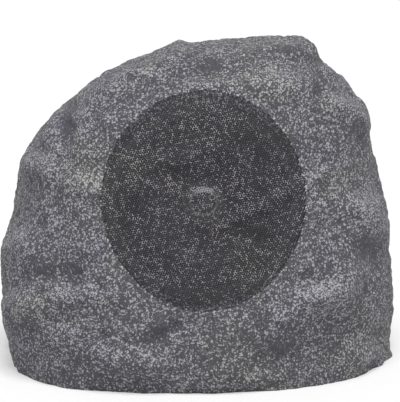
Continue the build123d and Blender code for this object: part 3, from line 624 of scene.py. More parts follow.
def refine_front(shape):
    """Halves the edges of the faces that the photograph shows, outside the grille."""
    _, back = view_axes()
    shape.normal_update()
    middles = np.array([face.calc_center_median() for face in shape.faces])
    outside = grille_room(on_driver(middles)) < REFINED_REACH
    facing = np.array([face.normal for face in shape.faces]) @ np.array(back) > REFINED_TURN
    above = middles[:, 2] > REFINED_FLOOR
    edges = {}
    for face, wanted in zip(shape.faces, outside & facing & above):
        if wanted:
            edges.update(dict.fromkeys(face.edges))
    bmesh.ops.subdivide_edges(shape, edges=list(edges), cuts=1, use_grid_fill=True)
    bmesh.ops.triangulate(shape, faces=shape.faces)
    soften(shape, shape.verts, REFINED_PASSES)


def outline_radii(places):
    """Distance from the middle to an outline in each degree, from points in order round it."""
    offsets = np.array(places, float) - np.array(OUTLINE_MIDDLE)
    turns = np.degrees(np.arctan2(-offsets[:, 1], offsets[:, 0])) % 360
    order = np.argsort(turns)
    turns, radii = turns[order], np.hypot(offsets[:, 0], offsets[:, 1])[order]
    return np.interp(np.arange(360), turns, radii, period=360)


def fit_outline(shape):
    """Draws the skin's outline onto the photograph's, and leaves its middle and its foot where they are."""
    up, _ = view_axes()
    corners = corner_array(shape)
    places, scale = photo_places(corners)
    offsets = places - np.array(OUTLINE_MIDDLE)
    turns = np.degrees(np.arctan2(-offsets[:, 1], offsets[:, 0])) % 360
    radii = np.hypot(offsets[:, 0], offsets[:, 1])
    reach = np.zeros(360)
    np.maximum.at(reach, turns.astype(int), radii)
    wanted = outline_radii(OUTLINE)
    window = np.ones(OUTLINE_WINDOW) / OUTLINE_WINDOW
    steady = np.convolve(np.tile(wanted / reach - 1, 3), window, "same")[360:720]
    growth = np.interp(turns, np.arange(360), steady, period=360)
    share = radii / np.interp(turns, np.arange(360), reach, period=360)
    foot = np.clip((corners[:, 2] - FOOT_FADE_START) / FOOT_FADE, 0, 1)
    push = offsets * (growth * share**EDGE_POWER * foot)[:, None] / scale[:, None]
    corners[:, 0] += push[:, 0]
    corners -= push[:, 1][:, None] * np.array(up)
    move_corners(shape, corners)


def front_share(normals):
    """How far faces are turned to the camera, from none to one."""
    _, back = view_axes()
    return np.clip((normals @ np.array(back) + FRONT_START) / FRONT_FADE, 0, 1)


def stroke_rise(places):
    """Rise of the ridges and grooves that the photograph shows."""
    rise = np.zeros(len(places))
    for stroke in STROKES:
        start, end = np.array(stroke.start, float), np.array(stroke.end, float)
        along = end - start
        share = np.clip((places - start) @ along / (along @ along), 0, 1)
        gap = np.linalg.norm(places - start - share[:, None] * along, axis=1)
        rise += stroke.rise * np.exp(-((gap / stroke.reach) ** 2))
    return rise


def front_rise(corners, normals):
    """Rise of the ridges, grooves and facets on the side that the photograph shows."""
    places, scale = photo_places(corners)
    rise = stroke_rise(places)
    for facet in FACETS:
        offsets = places - np.array(facet.middle)
        nearness = np.exp(-((offsets / np.array(facet.sizes)) ** 2).sum(axis=1))
        lift = FACET_LIFT * abs(facet.slope) * facet.sizes[1]
        rise += (facet.slope * offsets[:, 1] + lift) / scale * nearness
    return rise * front_share(normals)


def rough_rise(corner):
    """Rise of the lumps, chips and grain that break up the whole rock."""
    boulder = bpy.context.scene.rock_boulder
    lump = noise.fractal(corner / boulder.lump_size, *LUMP_OCTAVES)
    bend = noise.noise_vector(corner / boulder.lump_size) * boulder.chip_size * CHIP_BEND
    chip = noise.voronoi((corner + bend) / boulder.chip_size)[0]
    grain = noise.fractal(corner / boulder.grain_size, *GRAIN_OCTAVES)
    rise = lump * boulder.lump_height
    rise += (chip[1] - chip[0] - CHIP_LEVEL) * boulder.chip_height
    return rise + grain * boulder.grain_height


def painted_light_cover(shape):
    """Painted light and shade in the flecks: more light flecks on what tips up towards the light overhead, and
    fewer in the hollows.
    """
    corners, normals = corner_array(shape), normal_array(shape)
    places, _ = photo_places(corners)
    patches = STROKE_COVER * stroke_rise(places)
    for facet in FACETS:
        offsets = (places - np.array(facet.middle)) / np.array(facet.sizes)
        patches += FACET_COVER * facet.slope * np.exp(-(offsets**2).sum(axis=1))
    cover = UPPER_COVER * normals[:, 2] + patches * front_share(normals)
    layer = shape.verts.layers.float.new("cover")
    for vert, value in zip(shape.verts, cover):
        vert[layer] = value


def keep_wall(shape, tree):
    """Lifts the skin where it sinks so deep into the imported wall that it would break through."""
    for vert in shape.verts:
        place, normal, _, _ = tree.find_nearest(vert.co)
        depth = (place - vert.co).dot(normal)
        if depth > SKIN_DEPTH:
            vert.co += normal * (depth - SKIN_DEPTH)


def boulder_skin():
    """Closed skin of the boulder with its whole relief."""
    noise.seed_set(RELIEF_SEED)
    tree = hull_tree()
    shape = tight_skin(tree)
    refine_front(shape)
    fit_outline(shape)
    corners, normals = corner_array(shape), normal_array(shape)
    rough = np.array([rough_rise(vert.co) for vert in shape.verts])
    rise = front_rise(corners, normals) + rough * (1 + HIDDEN_GAIN * (1 - front_share(normals)))
    rise += SKIN_LIFT * np.clip(corners[:, 2] / SKIN_FOOT, 0, 1)
    move_corners(shape, corners + normals * rise[:, None])
    fit_outline(shape)
    keep_wall(shape, tree)
    return shape


def grown_shell():
    """Packed shell with its outer face moved out past the skin, and its recess, pocket and foot with it."""
    shape = merged_copy("rock_shell")
    shape.normal_update()
    outer = outer_faces(shape)
    moves = {}
    for vert in {vert for face in outer for vert in face.verts}:
        normal = sum((face.normal for face in vert.link_faces if face in outer), Vector()).normalized()
        rim = any(face not in outer for face in vert.link_faces)
        if rim and vert.co.z < GROUND_BAND:
            normal = Vector((normal.x, normal.y, 0)).normalized()
        elif rim and vert.co.y < 0:
            normal = FACING
        elif rim:
            normal = Vector((0, 1, 0))
        moves[vert] = normal * ROOM_OVER_SKIN
    for vert, move in moves.items():
        vert.co += move
    return shape


def shared_solid(shape, cutter):
    """Part that two closed shapes share."""
    pair = []
    for name, source in (("skin", shape), ("shell", cutter)):
        mesh = bpy.data.meshes.new(name)
        source.to_mesh(mesh)
        source.free()
        pair.append(bpy.data.objects.new(name, mesh))
        bpy.context.scene.collection.objects.link(pair[-1])
    modifier = pair[0].modifiers.new("shared", "BOOLEAN")
    modifier.operation = "INTERSECT"
    modifier.solver = "MANIFOLD"
    modifier.object = pair[1]
    graph = bpy.context.evaluated_depsgraph_get()
    result = bmesh.new()
    result.from_mesh(pair[0].evaluated_get(graph).to_mesh())
    for piece in pair:
        mesh = piece.data
        bpy.data.objects.remove(piece)
        bpy.data.meshes.remove(mesh)
    return result


# Finishes


def finish(slot):
    """Material of a slot, made when it is first asked for."""
    name = slot + "_finish"
    return bpy.data.materials.get(name) or FINISHES[slot](name)


class Coat:
    """Material with a principled shader, and short calls for the nodes that feed it."""

    def __init__(self, name, roughness, metallic=0.0):
        self.material = bpy.data.materials.new(name)
        self.material.use_nodes = True
        self.tree = self.material.node_tree
        self.shader = self.tree.nodes["Principled BSDF"]
        self.shader.inputs["Roughness"].default_value = roughness
        self.shader.inputs["Metallic"].default_value = metallic
        self.places = self.node("ShaderNodeTexCoord", {})["Object"]

    def node(self, kind, inputs, **settings):
        """Outputs of a new node, with its settings changed and its inputs linked or set."""
        made = self.tree.nodes.new(kind)
        for name, value in settings.items():
            setattr(made, name, value)
        for key, value in inputs.items():
            if isinstance(value, bpy.types.NodeSocket):
                self.tree.links.new(value, made.inputs[key])
            else:
                made.inputs[key].default_value = value
        return made.outputs

    def maths(self, operation, first, second=0.0):
        """Sum, product or the like of two values."""
        return self.node("ShaderNodeMath", {0: first, 1: second}, operation=operation)["Value"]

    def vectors(self, operation, first, second, result="Vector"):
        """Sum, product or the like of two vectors."""
        return self.node("ShaderNodeVectorMath", {0: first, 1: second}, operation=operation)[result]

    def stepped(self, value, low, high):
        """Nothing before one value, all after another, and smooth between them."""
        inputs = {"Value": value, "From Min": low, "From Max": high}
        return self.node("ShaderNodeMapRange", inputs, interpolation_type="SMOOTHSTEP")["Result"]

    def noise(self, size, detail=3.0):
        """Cloudy pattern with lumps of a size."""
        inputs = {"Vector": self.places, "Scale": 1 / size, "Detail": detail}
        return self.node("ShaderNodeTexNoise", inputs)["Fac"]

    def bent(self, size, reach):
        """Object coordinates pushed about by a cloudy pattern."""
        cloud = self.node("ShaderNodeTexNoise", {"Vector": self.places, "Scale": 1 / size})["Color"]
        inputs = {0: cloud, 1: (reach, reach, reach), 2: self.places}
        return self.node("ShaderNodeVectorMath", inputs, operation="MULTIPLY_ADD")["Vector"]

    def flecks(self, size, share, places, drift):
        """Blots of a size on a share of the grains, some of them faint, and more where a drift adds to it."""
        grain = self.node("ShaderNodeTexVoronoi", {"Vector": places, "Scale": 1 / size})
        chance = self.node("ShaderNodeSeparateColor", {"Color": grain["Color"]})["Red"]
        chance = self.maths("ADD", chance, drift)
        blot = self.stepped(grain["Distance"], FLECK_EDGE, FLECK_CORE)
        strength = self.stepped(chance, 1 - share, 1 - share * STRONG_SHARE)
        return self.maths("MULTIPLY", blot, strength)

    def driver_places(self):
        """Distance from the driver's axis, and height along it over the baffle."""
        offset = self.vectors("SUBTRACT", self.places, DRIVER.translation)
        across = self.vectors("CROSS_PRODUCT", offset, FACING)
        radius = self.vectors("LENGTH", across, (0, 0, 0), "Value")
        return radius, self.vectors("DOT_PRODUCT", offset, FACING, "Value")

    def ripple(self, value, pitch):
        """Wave along a value, from none to one."""
        wave = self.maths("SINE", self.maths("MULTIPLY", value, 2 * pi / pitch))
        return self.stepped(wave, -1.0, 1.0)

    def ramp(self, factor, *stops):
        """Colours picked along a factor."""
        made = self.tree.nodes.new("ShaderNodeValToRGB")
        elements = made.color_ramp.elements
        while len(elements) < len(stops):
            elements.new(0.5)
        for element, (place, colour) in zip(elements, stops):
            element.position = place
            element.color = (*colour, 1)
        self.tree.links.new(factor, made.inputs["Fac"])
        return made.outputs["Color"]

    def shades(self, size, detail, deep, pale):
        """Colour that drifts between two shades in lumps of a size."""
        return self.ramp(self.noise(size, detail), (0.3, deep), (0.7, pale))

    def mix(self, kind, first, second, factor):
        """Two colours mixed by a share."""
        inputs = {0: factor, 6: first, 7: second}
        return self.node("ShaderNodeMix", inputs, data_type="RGBA", blend_type=kind)[2]

    def colour(self, source):
        """Base colour of the coat."""
        self.tree.links.new(source, self.shader.inputs["Base Color"])

    def sheen_patches(self, pattern, low, high):
        """Roughness that varies with a pattern."""
        inputs = {"Value": pattern, "To Min": low, "To Max": high}
        result = self.node("ShaderNodeMapRange", inputs)["Result"]
        self.tree.links.new(result, self.shader.inputs["Roughness"])

    def bump(self, height, depth, strength=1.0):
        """Fine relief of the coat."""
        inputs = {"Height": height, "Distance": depth, "Strength": strength}
        self.tree.links.new(self.node("ShaderNodeBump", inputs)["Normal"], self.shader.inputs["Normal"])


def granite(share, ground_gain, fleck_gain):
    """Maker of a dark grey stone coat with clouds of colour and light flecks on a share of it, and with painted
    light and shade in how thick the flecks lie.
    """

    def make(name):
        colours = bpy.context.scene.rock_finish
        coat = Coat(name, 0.86)
        size = colours.fleck_size
        bent = coat.bent(size * FLECK_BEND, size * FLECK_BEND)
        dark = tuple(channel * ground_gain for channel in colours.granite_dark)
        middle = tuple(channel * ground_gain for channel in colours.granite_mid)
        light = tuple(channel * fleck_gain for channel in colours.granite_light)
        base = coat.ramp(coat.noise(size * GROUND_GRAIN, 2), (0.36, dark), (0.66, middle))
        drift = coat.maths("SUBTRACT", coat.noise(DRIFT_SIZE, 2), 0.5)
        drift = coat.maths("MULTIPLY", drift, DRIFT_GAIN)
        # Painted light and shade: the cover attribute adds light flecks where faces tip up and takes them away in
        # the hollows
        cover = coat.node("ShaderNodeAttribute", {}, attribute_name="cover")["Fac"]
        drift = coat.maths("ADD", drift, cover)
        speckled = base
        for fleck in (size * SMALL_FLECK, size):
            speckled = coat.mix("MIX", speckled, (*light, 1), coat.flecks(fleck, share, bent, drift))
        clouds = coat.ramp(coat.noise(CLOUD_SIZE, 3), (0.34, colours.cloud_cool), (0.66, colours.cloud_warm))
        coat.colour(coat.mix("MULTIPLY", speckled, clouds, 1.0))
        coat.bump(coat.noise(size * PIT_SIZE, 4), PIT_DEPTH, strength=0.6)
        return coat.material

    return make


def mottled(deep, pale, roughness, metallic=0.0, size=0.006, grain=0.0007, depth=0.00003):
    """Maker of a coat that drifts between two shades, with a fine grain."""

    def make(name):
        coat = Coat(name, roughness, metallic)
        coat.colour(coat.shades(size, 4, deep, pale))
        patches = coat.noise(size * SHEEN_SIZE, 3)
        coat.sheen_patches(patches, roughness - SHEEN_SPREAD, roughness + SHEEN_SPREAD)
        coat.bump(coat.noise(grain, 3), depth)
        return coat.material

    return make


def cone_moulding(name):
    """Black cone of filled plastic, with fine rings turned into it."""
    coat = Coat(name, 0.45)
    radius, _ = coat.driver_places()
    coat.colour(coat.shades(0.004, 4, (0.009, 0.009, 0.010), (0.018, 0.018, 0.020)))
    coat.bump(coat.ripple(radius, CONE_RING_PITCH), 0.00012)
    return coat.material


def resin_cloth(name):
    """Woven cloth stiffened with resin."""
    coat = Coat(name, 0.88)
    split = coat.node("ShaderNodeSeparateXYZ", {"Vector": coat.places})
    threads = [coat.ripple(split[axis], THREAD_PITCH) for axis in "XZ"]
    weave = coat.maths("MULTIPLY", *threads)
    coat.colour(coat.ramp(weave, (0.1, (0.20, 0.12, 0.05)), (0.9, (0.46, 0.33, 0.17))))
    coat.bump(weave, 0.00015)
    return coat.material


def windings(deep, pale, pitch):
    """Maker of a metal that shows turns of wire or turning marks along the driver's axis."""

    def make(name):
        coat = Coat(name, 0.32, 1.0)
        _, height = coat.driver_places()
        turns = coat.ripple(height, pitch)
        coat.colour(coat.ramp(turns, (0.0, deep), (0.7, pale)))
        coat.bump(turns, pitch / 3)
        return coat.material

    return make


def tweeter_plate(name):
    """Dark faceplate whose raised ring is grey, with a painted highlight that turns it pale towards its top."""
    coat = Coat(name, 0.45)
    radius, _ = coat.driver_places()
    offset = coat.vectors("SUBTRACT", coat.places, DRIVER.translation)
    height = coat.vectors("DOT_PRODUCT", offset, RISING, "Value")
    # Painted highlight: pale colour for the top of the ring, where the light overhead would catch it
    pale = coat.shades(0.002, 3, (0.86, 0.82, 0.85), (0.94, 0.90, 0.93))
    painted_highlight = coat.stepped(height, HIGHLIGHT_START, HIGHLIGHT_START + HIGHLIGHT_FADE)
    ring = coat.mix("MIX", (0.22, 0.21, 0.22, 1), pale, painted_highlight)
    plate = coat.shades(0.002, 3, (0.020, 0.020, 0.022), (0.034, 0.034, 0.036))
    past_ring = coat.stepped(radius, RING_RADIUS, RING_RADIUS + RING_EDGE)
    coat.colour(coat.mix("MIX", ring, plate, past_ring))
    coat.bump(coat.noise(0.0006, 3), 0.00003)
    return coat.material


def circuit_board(name):
    """Green laminate whose tracks show under its mask."""
    coat = Coat(name, 0.35)
    split = coat.node("ShaderNodeSeparateXYZ", {"Vector": coat.bent(0.03, 0.012)})
    tracks = coat.stepped(coat.ripple(split["X"], TRACK_PITCH), 0.55, 0.62)
    green = coat.shades(0.005, 4, (0.012, 0.075, 0.024), (0.020, 0.110, 0.036))
    coat.colour(coat.mix("MIX", green, (0.045, 0.20, 0.06, 1), tracks))
    coat.bump(tracks, 0.00006)
    return coat.material


FINISHES = {
    "rock_granite": granite(0.40, 0.92, 1.0),
    "grille_coat": granite(0.33, 1.0, 1.24),
    "black_plastic": mottled((0.017, 0.017, 0.018), (0.028, 0.028, 0.030), 0.5, grain=0.0005, depth=0.00008),
    "seal_rubber": mottled((0.011, 0.011, 0.011), (0.022, 0.022, 0.021), 0.8),
    "screw_steel": mottled((0.022, 0.022, 0.024), (0.045, 0.045, 0.048), 0.42, 0.4, size=0.003),
    "basket_paint": mottled((0.013, 0.013, 0.014), (0.024, 0.024, 0.025), 0.42, grain=0.0006, depth=0.00010),
    "cone_plastic": cone_moulding,
    "spider_cloth": resin_cloth,
    "former_aluminium": windings((0.55, 0.55, 0.56), (0.74, 0.74, 0.75), 0.0006),
    "coil_copper": windings((0.28, 0.10, 0.04), (0.70, 0.33, 0.17), 0.0003),
    "plated_steel": mottled((0.42, 0.41, 0.36), (0.62, 0.60, 0.55), 0.34, 1.0, size=0.008),
    "ferrite": mottled((0.030, 0.030, 0.032), (0.058, 0.058, 0.060), 0.6, grain=0.0004, depth=0.00006),
    "tweeter_ring": tweeter_plate,
    "dome_metal": mottled((0.030, 0.030, 0.034), (0.055, 0.055, 0.060), 0.38, 0.5, size=0.004),
    "board_laminate": circuit_board,
    "capacitor_case": mottled((0.26, 0.07, 0.015), (0.42, 0.13, 0.03), 0.28),
    "resistor_ceramic": mottled((0.60, 0.58, 0.52), (0.78, 0.76, 0.70), 0.82, grain=0.0005, depth=0.00010),
    "lead_sleeve": mottled((0.020, 0.020, 0.020), (0.040, 0.040, 0.040), 0.45),
    "terminal_card": mottled((0.20, 0.11, 0.045), (0.34, 0.20, 0.09), 0.6, size=0.002),
    "tab_brass": mottled((0.52, 0.42, 0.22), (0.74, 0.64, 0.40), 0.32, 1.0, size=0.003),
}


# Grille


def honeycomb(pitch, turn):
    """Flat honeycomb of six-sided cells, large enough to cover the grille."""
    shape = bmesh.new()
    bmesh.ops.create_circle(shape, cap_ends=True, segments=6, radius=pitch / sqrt(3))
    rise = pitch * sqrt(3) / 2
    steps = [Vector((pitch * 2**power, 0, 0)) for power in range(COLUMN_DOUBLINGS)]
    steps.append(Vector((pitch / 2, rise, 0)))
    steps += [Vector((0, 2 * rise * 2**power, 0)) for power in range(ROW_DOUBLINGS)]
    middle = Vector((0, 0, 0))
    for step in steps:
        cells = shape.verts[:] + shape.edges[:] + shape.faces[:]
        copied = bmesh.ops.duplicate(shape, geom=cells)["geom"]
        bmesh.ops.translate(shape, verts=of_kind(copied, bmesh.types.BMVert), vec=step)
        middle += step / 2
    bmesh.ops.remove_doubles(shape, verts=shape.verts, dist=pitch / 100)
    bmesh.ops.translate(shape, verts=shape.verts, vec=-middle)
    bmesh.ops.rotate(shape, verts=shape.verts, cent=(0, 0, 0), matrix=Matrix.Rotation(turn, 3, "Z"))
    return shape


def room_of(faces):
    """How far the middles of flat faces lie inside the grille's outline."""
    return grille_room(np.array([face.calc_center_median() for face in faces]))


def rim_loop(shape, inset):
    """Loop of edges along the grille's outline, moved inwards by an inset."""
    rim = bmesh.ops.create_circle(shape, segments=RIM_SEGMENTS, radius=1)["verts"]
    for vert in rim:
        vert.co *= 1 + grille_room(np.array([vert.co]))[0] - inset
    return list(dict.fromkeys(side for vert in rim for side in vert.link_edges))


def perforated_sheet():
    """Flat sheet with the grille's outline and its staggered holes; the faces over the skirt are marked."""
    grille = bpy.context.scene.rock_grille
    shape = honeycomb(grille.hole_pitch, grille.row_turn)
    faces = shape.faces[:]
    least = grille.skirt + grille.hole_pitch * CELL_MARGIN
    spare = [face for face, room in zip(faces, room_of(faces)) if room < least]
    bmesh.ops.delete(shape, geom=spare, context="FACES")
    bmesh.ops.bevel(
        shape,
        geom=shape.edges[:],
        offset=grille.bar_width / 2,
        affect="EDGES",
        segments=1,
        profile=0.5,
        material=-1,
    )
    cells = [face for face in shape.faces if len(face.verts) == 6]
    edge = [side for side in shape.edges if side.is_boundary]
    rim = rim_loop(shape, grille.skirt)
    bmesh.ops.triangle_fill(shape, edges=edge + rim, use_beauty=True, normal=(0, 0, 1))
    margin = grille.skirt + grille.border + grille.hole_pitch / 2
    holes = [cell for cell, room in zip(cells, room_of(cells)) if room > margin]
    bmesh.ops.delete(shape, geom=holes, context="FACES")
    band = bmesh.ops.extrude_edge_only(shape, edges=rim)["geom"]
    for vert in of_kind(band, bmesh.types.BMVert):
        vert.co *= 1 + grille.skirt / vert.co.length
    for face in of_kind(band, bmesh.types.BMFace):
        face.material_index = SKIRT_MARK
    return shape


def thicken(shape, faces, keep, depth):
    """Extrudes faces down the driver's axis by a depth, or to the baffle, and gives back the new faces."""
    made = bmesh.ops.extrude_face_region(shape, geom=faces, use_keep_orig=keep)["geom"]
    for vert in of_kind(made, bmesh.types.BMVert):
        height = (vert.co - DRIVER.translation).dot(FACING) - SKIRT_GAP
        vert.co -= FACING * min(depth, height)
    return of_kind(made, bmesh.types.BMFace)


def contoured_grille(skin_tree):
    """Perforated sheet laid on the boulder's relief, with its skirt down to the baffle."""
    grille = bpy.context.scene.rock_grille
    shape = perforated_sheet()
    for vert in shape.verts:
        above = DRIVER @ Vector((vert.co.x, vert.co.y, HULL_REACH))
        vert.co = skin_tree.ray_cast(above, -FACING)[0]
    under = thicken(shape, shape.faces[:], True, grille.sheet)
    skirt = [face for face in under if face.material_index == SKIRT_MARK]
    thicken(shape, skirt, False, HULL_REACH)
    for face in shape.faces:
        face.material_index = 0
    bmesh.ops.recalc_face_normals(shape, faces=shape.faces)
    return shape


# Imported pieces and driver


def dress(*nodes):
    """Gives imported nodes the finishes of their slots."""
    for node in nodes:
        mesh = frame["nodes"][node].data
        mesh.materials.clear()
        mesh.materials.append(finish(SLOTS[node]))


def turned(profile):
    """Ring turned about the driver's axis from a closed profile of radii and heights."""
    shape = bmesh.new()
    verts = [shape.verts.new(DRIVER @ Vector((radius, 0, height))) for radius, height in profile]
    edges = [shape.edges.new(pair) for pair in zip(verts, verts[1:] + verts[:1])]
    bmesh.ops.spin(
        shape,
        geom=verts + edges,
        cent=DRIVER.translation,
        axis=FACING,
        angle=2 * pi,
        steps=TURNED_STEPS,
        use_merge=True,
    )
    bmesh.ops.recalc_face_normals(shape, faces=shape.faces)
    return shape


def tweeter_front():
    """Tweeter's faceplate, whose rounded lip reaches inwards at its top as a hood over the dome's edge."""
    local = on_driver(coordinates("tweeter_faceplate"))
    low, front, top = np.unique(local[:, 2].round(SIZE_DIGITS))
    bore, lip, rim = np.unique(np.hypot(local[:, 0], local[:, 1]).round(SIZE_DIGITS))
    profile = [(bore, front), (bore, low), (rim, low), (rim, front)]
    for step in range(LIP_STEPS + 1):
        turn = pi / 2 * step / LIP_STEPS
        profile.append((lip - (lip - bore) * (1 - cos(turn)), front + (top - front) * sin(turn)))
    profile.append((bore, top - LIP_WALL))
    shape = turned(profile)
    local = on_driver(corner_array(shape))
    radius = np.hypot(local[:, 0], local[:, 1])
    inwards = np.clip((lip - radius) / (lip - bore), 0, 1) * (local[:, 2] > front + LIP_WALL)
    upper = np.clip(local[:, 1] / radius, 0, 1)
    local[:, 1] -= LIP_HOOD * inwards * upper
    move_corners(shape, [DRIVER @ Vector(place) for place in local])
    return shape


def flexing_ring(name, node):
    """Copy of an imported ring with its finish, on no body; each corner's share of the cone's travel is worked out
    from its radius but not used.
    """
    ring = new_piece(name, merged_copy(node), None, SLOTS[node], node)
    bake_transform(ring)
    local = on_driver(np.array([vert.co for vert in ring.data.vertices]))
    radius = np.hypot(local[:, 0], local[:, 1])
    share = (radius.max() - GLUED_BAND - radius) / (np.ptp(radius) - 2 * GLUED_BAND)
    share = np.clip(share, 0, 1)


# Stage


def soft_key(strength, spread):
    """Broad soft light from overhead, from in front and a touch to the right."""
    lamp = bpy.data.lights.new("key", "SUN")
    lamp.energy = strength
    lamp.angle = spread
    light = bpy.data.objects.new("key", lamp)
    light.rotation_euler = Vector(KEY_DIRECTION).to_track_quat("Z", "Y").to_euler()
    bpy.context.scene.collection.objects.link(light)


def seen_directly(tree):
    """One where a ray comes from the camera, a mirror or glass."""
    path = tree.nodes.new("ShaderNodeLightPath")
    seen = path.outputs["Is Camera Ray"]
    for ray in ("Is Glossy Ray", "Is Transmission Ray"):
        either = tree.nodes.new("ShaderNodeMath")
        either.operation = "MAXIMUM"
        tree.links.new(seen, either.inputs[0])
        tree.links.new(path.outputs[ray], either.inputs[1])
        seen = either.outputs[0]
    return seen


def white_floor(glow):
    """Floor that is white to the camera, keeps the rock's shadow and throws less light back up."""
    coat = Coat("floor_white", 1.0)
    seen = seen_directly(coat.tree)
    coat.colour(coat.mix("MIX", FLOOR_BOUNCED, FLOOR_SEEN, seen))
    white = coat.node("ShaderNodeEmission", {})["Emission"]
    share = coat.maths("MULTIPLY", seen, glow)
    floor = coat.node("ShaderNodeMixShader", {0: share, 1: coat.shader.outputs["BSDF"], 2: white})["Shader"]
    coat.tree.links.new(floor, coat.tree.nodes["Material Output"].inputs["Surface"])
    return coat.material


def white_world(strength):
    """Even light from all round, white where it is seen."""
    world = bpy.data.worlds.new("studio")
    bpy.context.scene.world = world
    world.use_nodes = True
    tree = world.node_tree
    background = tree.nodes["Background"]
    background.inputs["Color"].default_value = (1, 1, 1, 1)
    level = tree.nodes.new("ShaderNodeMapRange")
    level.inputs["To Min"].default_value = strength
    level.inputs["To Max"].default_value = 1.0
    tree.links.new(seen_directly(tree), level.inputs["Value"])
    tree.links.new(level.outputs["Result"], background.inputs["Strength"])


# Operators


class ROCK_OT_boulder(bpy.types.Operator):
    """Builds the boulder with its relief and the grille that follows it"""

    bl_idname = "rock_speaker.boulder"
    bl_label = "Boulder and grille"

    def execute(self, context):
        skin = boulder_skin()
        grille = contoured_grille(BVHTree.FromBMesh(skin))
        smooth_by_angle(grille, PIECE_CREASE)
        # Painted light and shade in the grille's flecks
        painted_light_cover(grille)
        new_piece("grille_sheet", grille, "cabinet", "grille_coat", "grille")
        boulder = shared_solid(skin, grown_shell())
        smooth_by_angle(boulder, ROCK_CREASE)
        # Painted light and shade in the boulder's flecks
        painted_light_cover(boulder)
        new_piece("boulder", boulder, "cabinet", "rock_granite", "rock_shell")
        return {"FINISHED"}


class ROCK_OT_base(bpy.types.Operator):
    """Finishes the base plate with its gasket and screws"""

    bl_idname = "rock_speaker.base"
    bl_label = "Base"

    def execute(self, context):
        dress("base_plate", "base_gasket", "base_screws")
        return {"FINISHED"}


class ROCK_OT_gland(bpy.types.Operator):
    """Finishes the cable gland at the back"""

    bl_idname = "rock_speaker.gland"
    bl_label = "Cable gland"

    def execute(self, context):
        dress("gland_body", "gland_seal", "gland_cap", "gland_locknut")
        return {"FINISHED"}


class ROCK_OT_woofer(bpy.types.Operator):
    """Finishes the woofer's frame, cone, coil and magnet"""

    bl_idname = "rock_speaker.woofer"
    bl_label = "Woofer"

    def execute(self, context):
        dress(
            "woofer_gasket", "woofer_basket", "woofer_screws", "woofer_cone", "voice_coil_former",
            "voice_coil", "front_plate", "ferrite_magnet", "yoke", "terminal_strip", "terminal_tabs",
        )
        return {"FINISHED"}


class ROCK_OT_tweeter(bpy.types.Operator):
    """Builds the tweeter's faceplate and finishes the tweeter on its post"""

    bl_idname = "rock_speaker.tweeter"
    bl_label = "Tweeter"

    def execute(self, context):
        dress(
            "tweeter_post", "post_nut", "tweeter_cup", "tweeter_pot", "tweeter_magnet", "tweeter_top_plate",
            "tweeter_dome",
        )
        front = tweeter_front()
        smooth_by_angle(front, PIECE_CREASE)
        new_piece("tweeter_front", front, "cabinet", "tweeter_ring", "tweeter_faceplate")
        return {"FINISHED"}


class ROCK_OT_crossover(bpy.types.Operator):
    """Finishes the crossover board, its parts and its leads"""

    bl_idname = "rock_speaker.crossover"
    bl_label = "Crossover"

    def execute(self, context):
        dress(
            "crossover_board", "board_screws", "inductor", "capacitors", "resistor", "input_terminal",
            "woofer_leads", "tweeter_leads",
        )
        return {"FINISHED"}


class ROCK_OT_suspension(bpy.types.Operator):
    """Builds the woofer's surround and spider as copies of the imported rings"""

    bl_idname = "rock_speaker.suspension"
    bl_label = "Surround and spider"

    def execute(self, context):
        flexing_ring("surround_roll", "woofer_surround")
        flexing_ring("spider_disc", "woofer_spider")
        return {"FINISHED"}


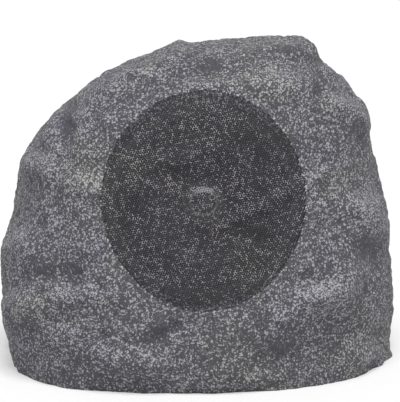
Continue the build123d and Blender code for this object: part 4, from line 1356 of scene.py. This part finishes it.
class ROCK_OT_stage(bpy.types.Operator):
    """Builds the floor, the white surroundings, the light and the camera"""

    bl_idname = "rock_speaker.stage"
    bl_label = "Stage"

    def execute(self, context):
        stage = context.scene.rock_stage
        up, back = view_axes()
        lens = bpy.data.cameras.new("camera")
        lens.lens = lens.sensor_width * stage.distance / stage.view_width
        lens.clip_end = FAR_LIMIT
        camera = bpy.data.objects.new("camera", lens)
        camera.matrix_world = Matrix((Vector((1, 0, 0)), up, back)).transposed().to_4x4()
        camera.location = Vector(stage.aim) + back * stage.distance
        context.scene.collection.objects.link(camera)
        context.scene.camera = camera
        floor_shape = bmesh.new()
        bmesh.ops.create_grid(floor_shape, x_segments=1, y_segments=1, size=FLOOR_REACH)
        mesh = bpy.data.meshes.new("floor")
        floor_shape.to_mesh(mesh)
        floor_shape.free()
        floor = bpy.data.objects.new("floor", mesh)
        context.scene.collection.objects.link(floor)
        mesh.materials.append(white_floor(stage.floor_glow))
        white_world(stage.sky_strength)
        soft_key(stage.key_strength, stage.key_spread)
        context.scene.view_settings.view_transform = "Standard"
        return {"FINISHED"}


class ROCK_PT_panel(bpy.types.Panel):
    """Steps of the rock speaker"""

    bl_idname = "ROCK_PT_panel"
    bl_label = "Rock Speaker"
    bl_space_type = "VIEW_3D"
    bl_region_type = "UI"
    bl_category = "Rock Speaker"

    def draw(self, context):
        for step in STEPS:
            self.layout.operator(step.bl_idname)


STEPS = (
    ROCK_OT_boulder, ROCK_OT_base, ROCK_OT_gland, ROCK_OT_woofer, ROCK_OT_suspension, ROCK_OT_tweeter,
    ROCK_OT_crossover, ROCK_OT_stage,
)
SETTINGS = {
    "rock_boulder": BoulderSettings,
    "rock_grille": GrilleSettings,
    "rock_finish": FinishSettings,
    "rock_stage": StageSettings,
}


def register():
    """Adds the settings, the steps and the panel."""
    for name, kind in SETTINGS.items():
        bpy.utils.register_class(kind)
        setattr(bpy.types.Scene, name, PointerProperty(type=kind))
    for kind in (*STEPS, ROCK_PT_panel):
        bpy.utils.register_class(kind)


def unregister():
    """Takes the panel, the steps and the settings away."""
    for kind in (ROCK_PT_panel, *reversed(STEPS)):
        bpy.utils.unregister_class(kind)
    for name, kind in SETTINGS.items():
        delattr(bpy.types.Scene, name)
        bpy.utils.unregister_class(kind)


def main():
    """Runs every step."""
    register()
    bpy.ops.rock_speaker.boulder()
    bpy.ops.rock_speaker.base()
    bpy.ops.rock_speaker.gland()
    bpy.ops.rock_speaker.woofer()
    bpy.ops.rock_speaker.suspension()
    bpy.ops.rock_speaker.tweeter()
    bpy.ops.rock_speaker.crossover()
    bpy.ops.rock_speaker.stage()


if __name__ == "__main__":
    main()
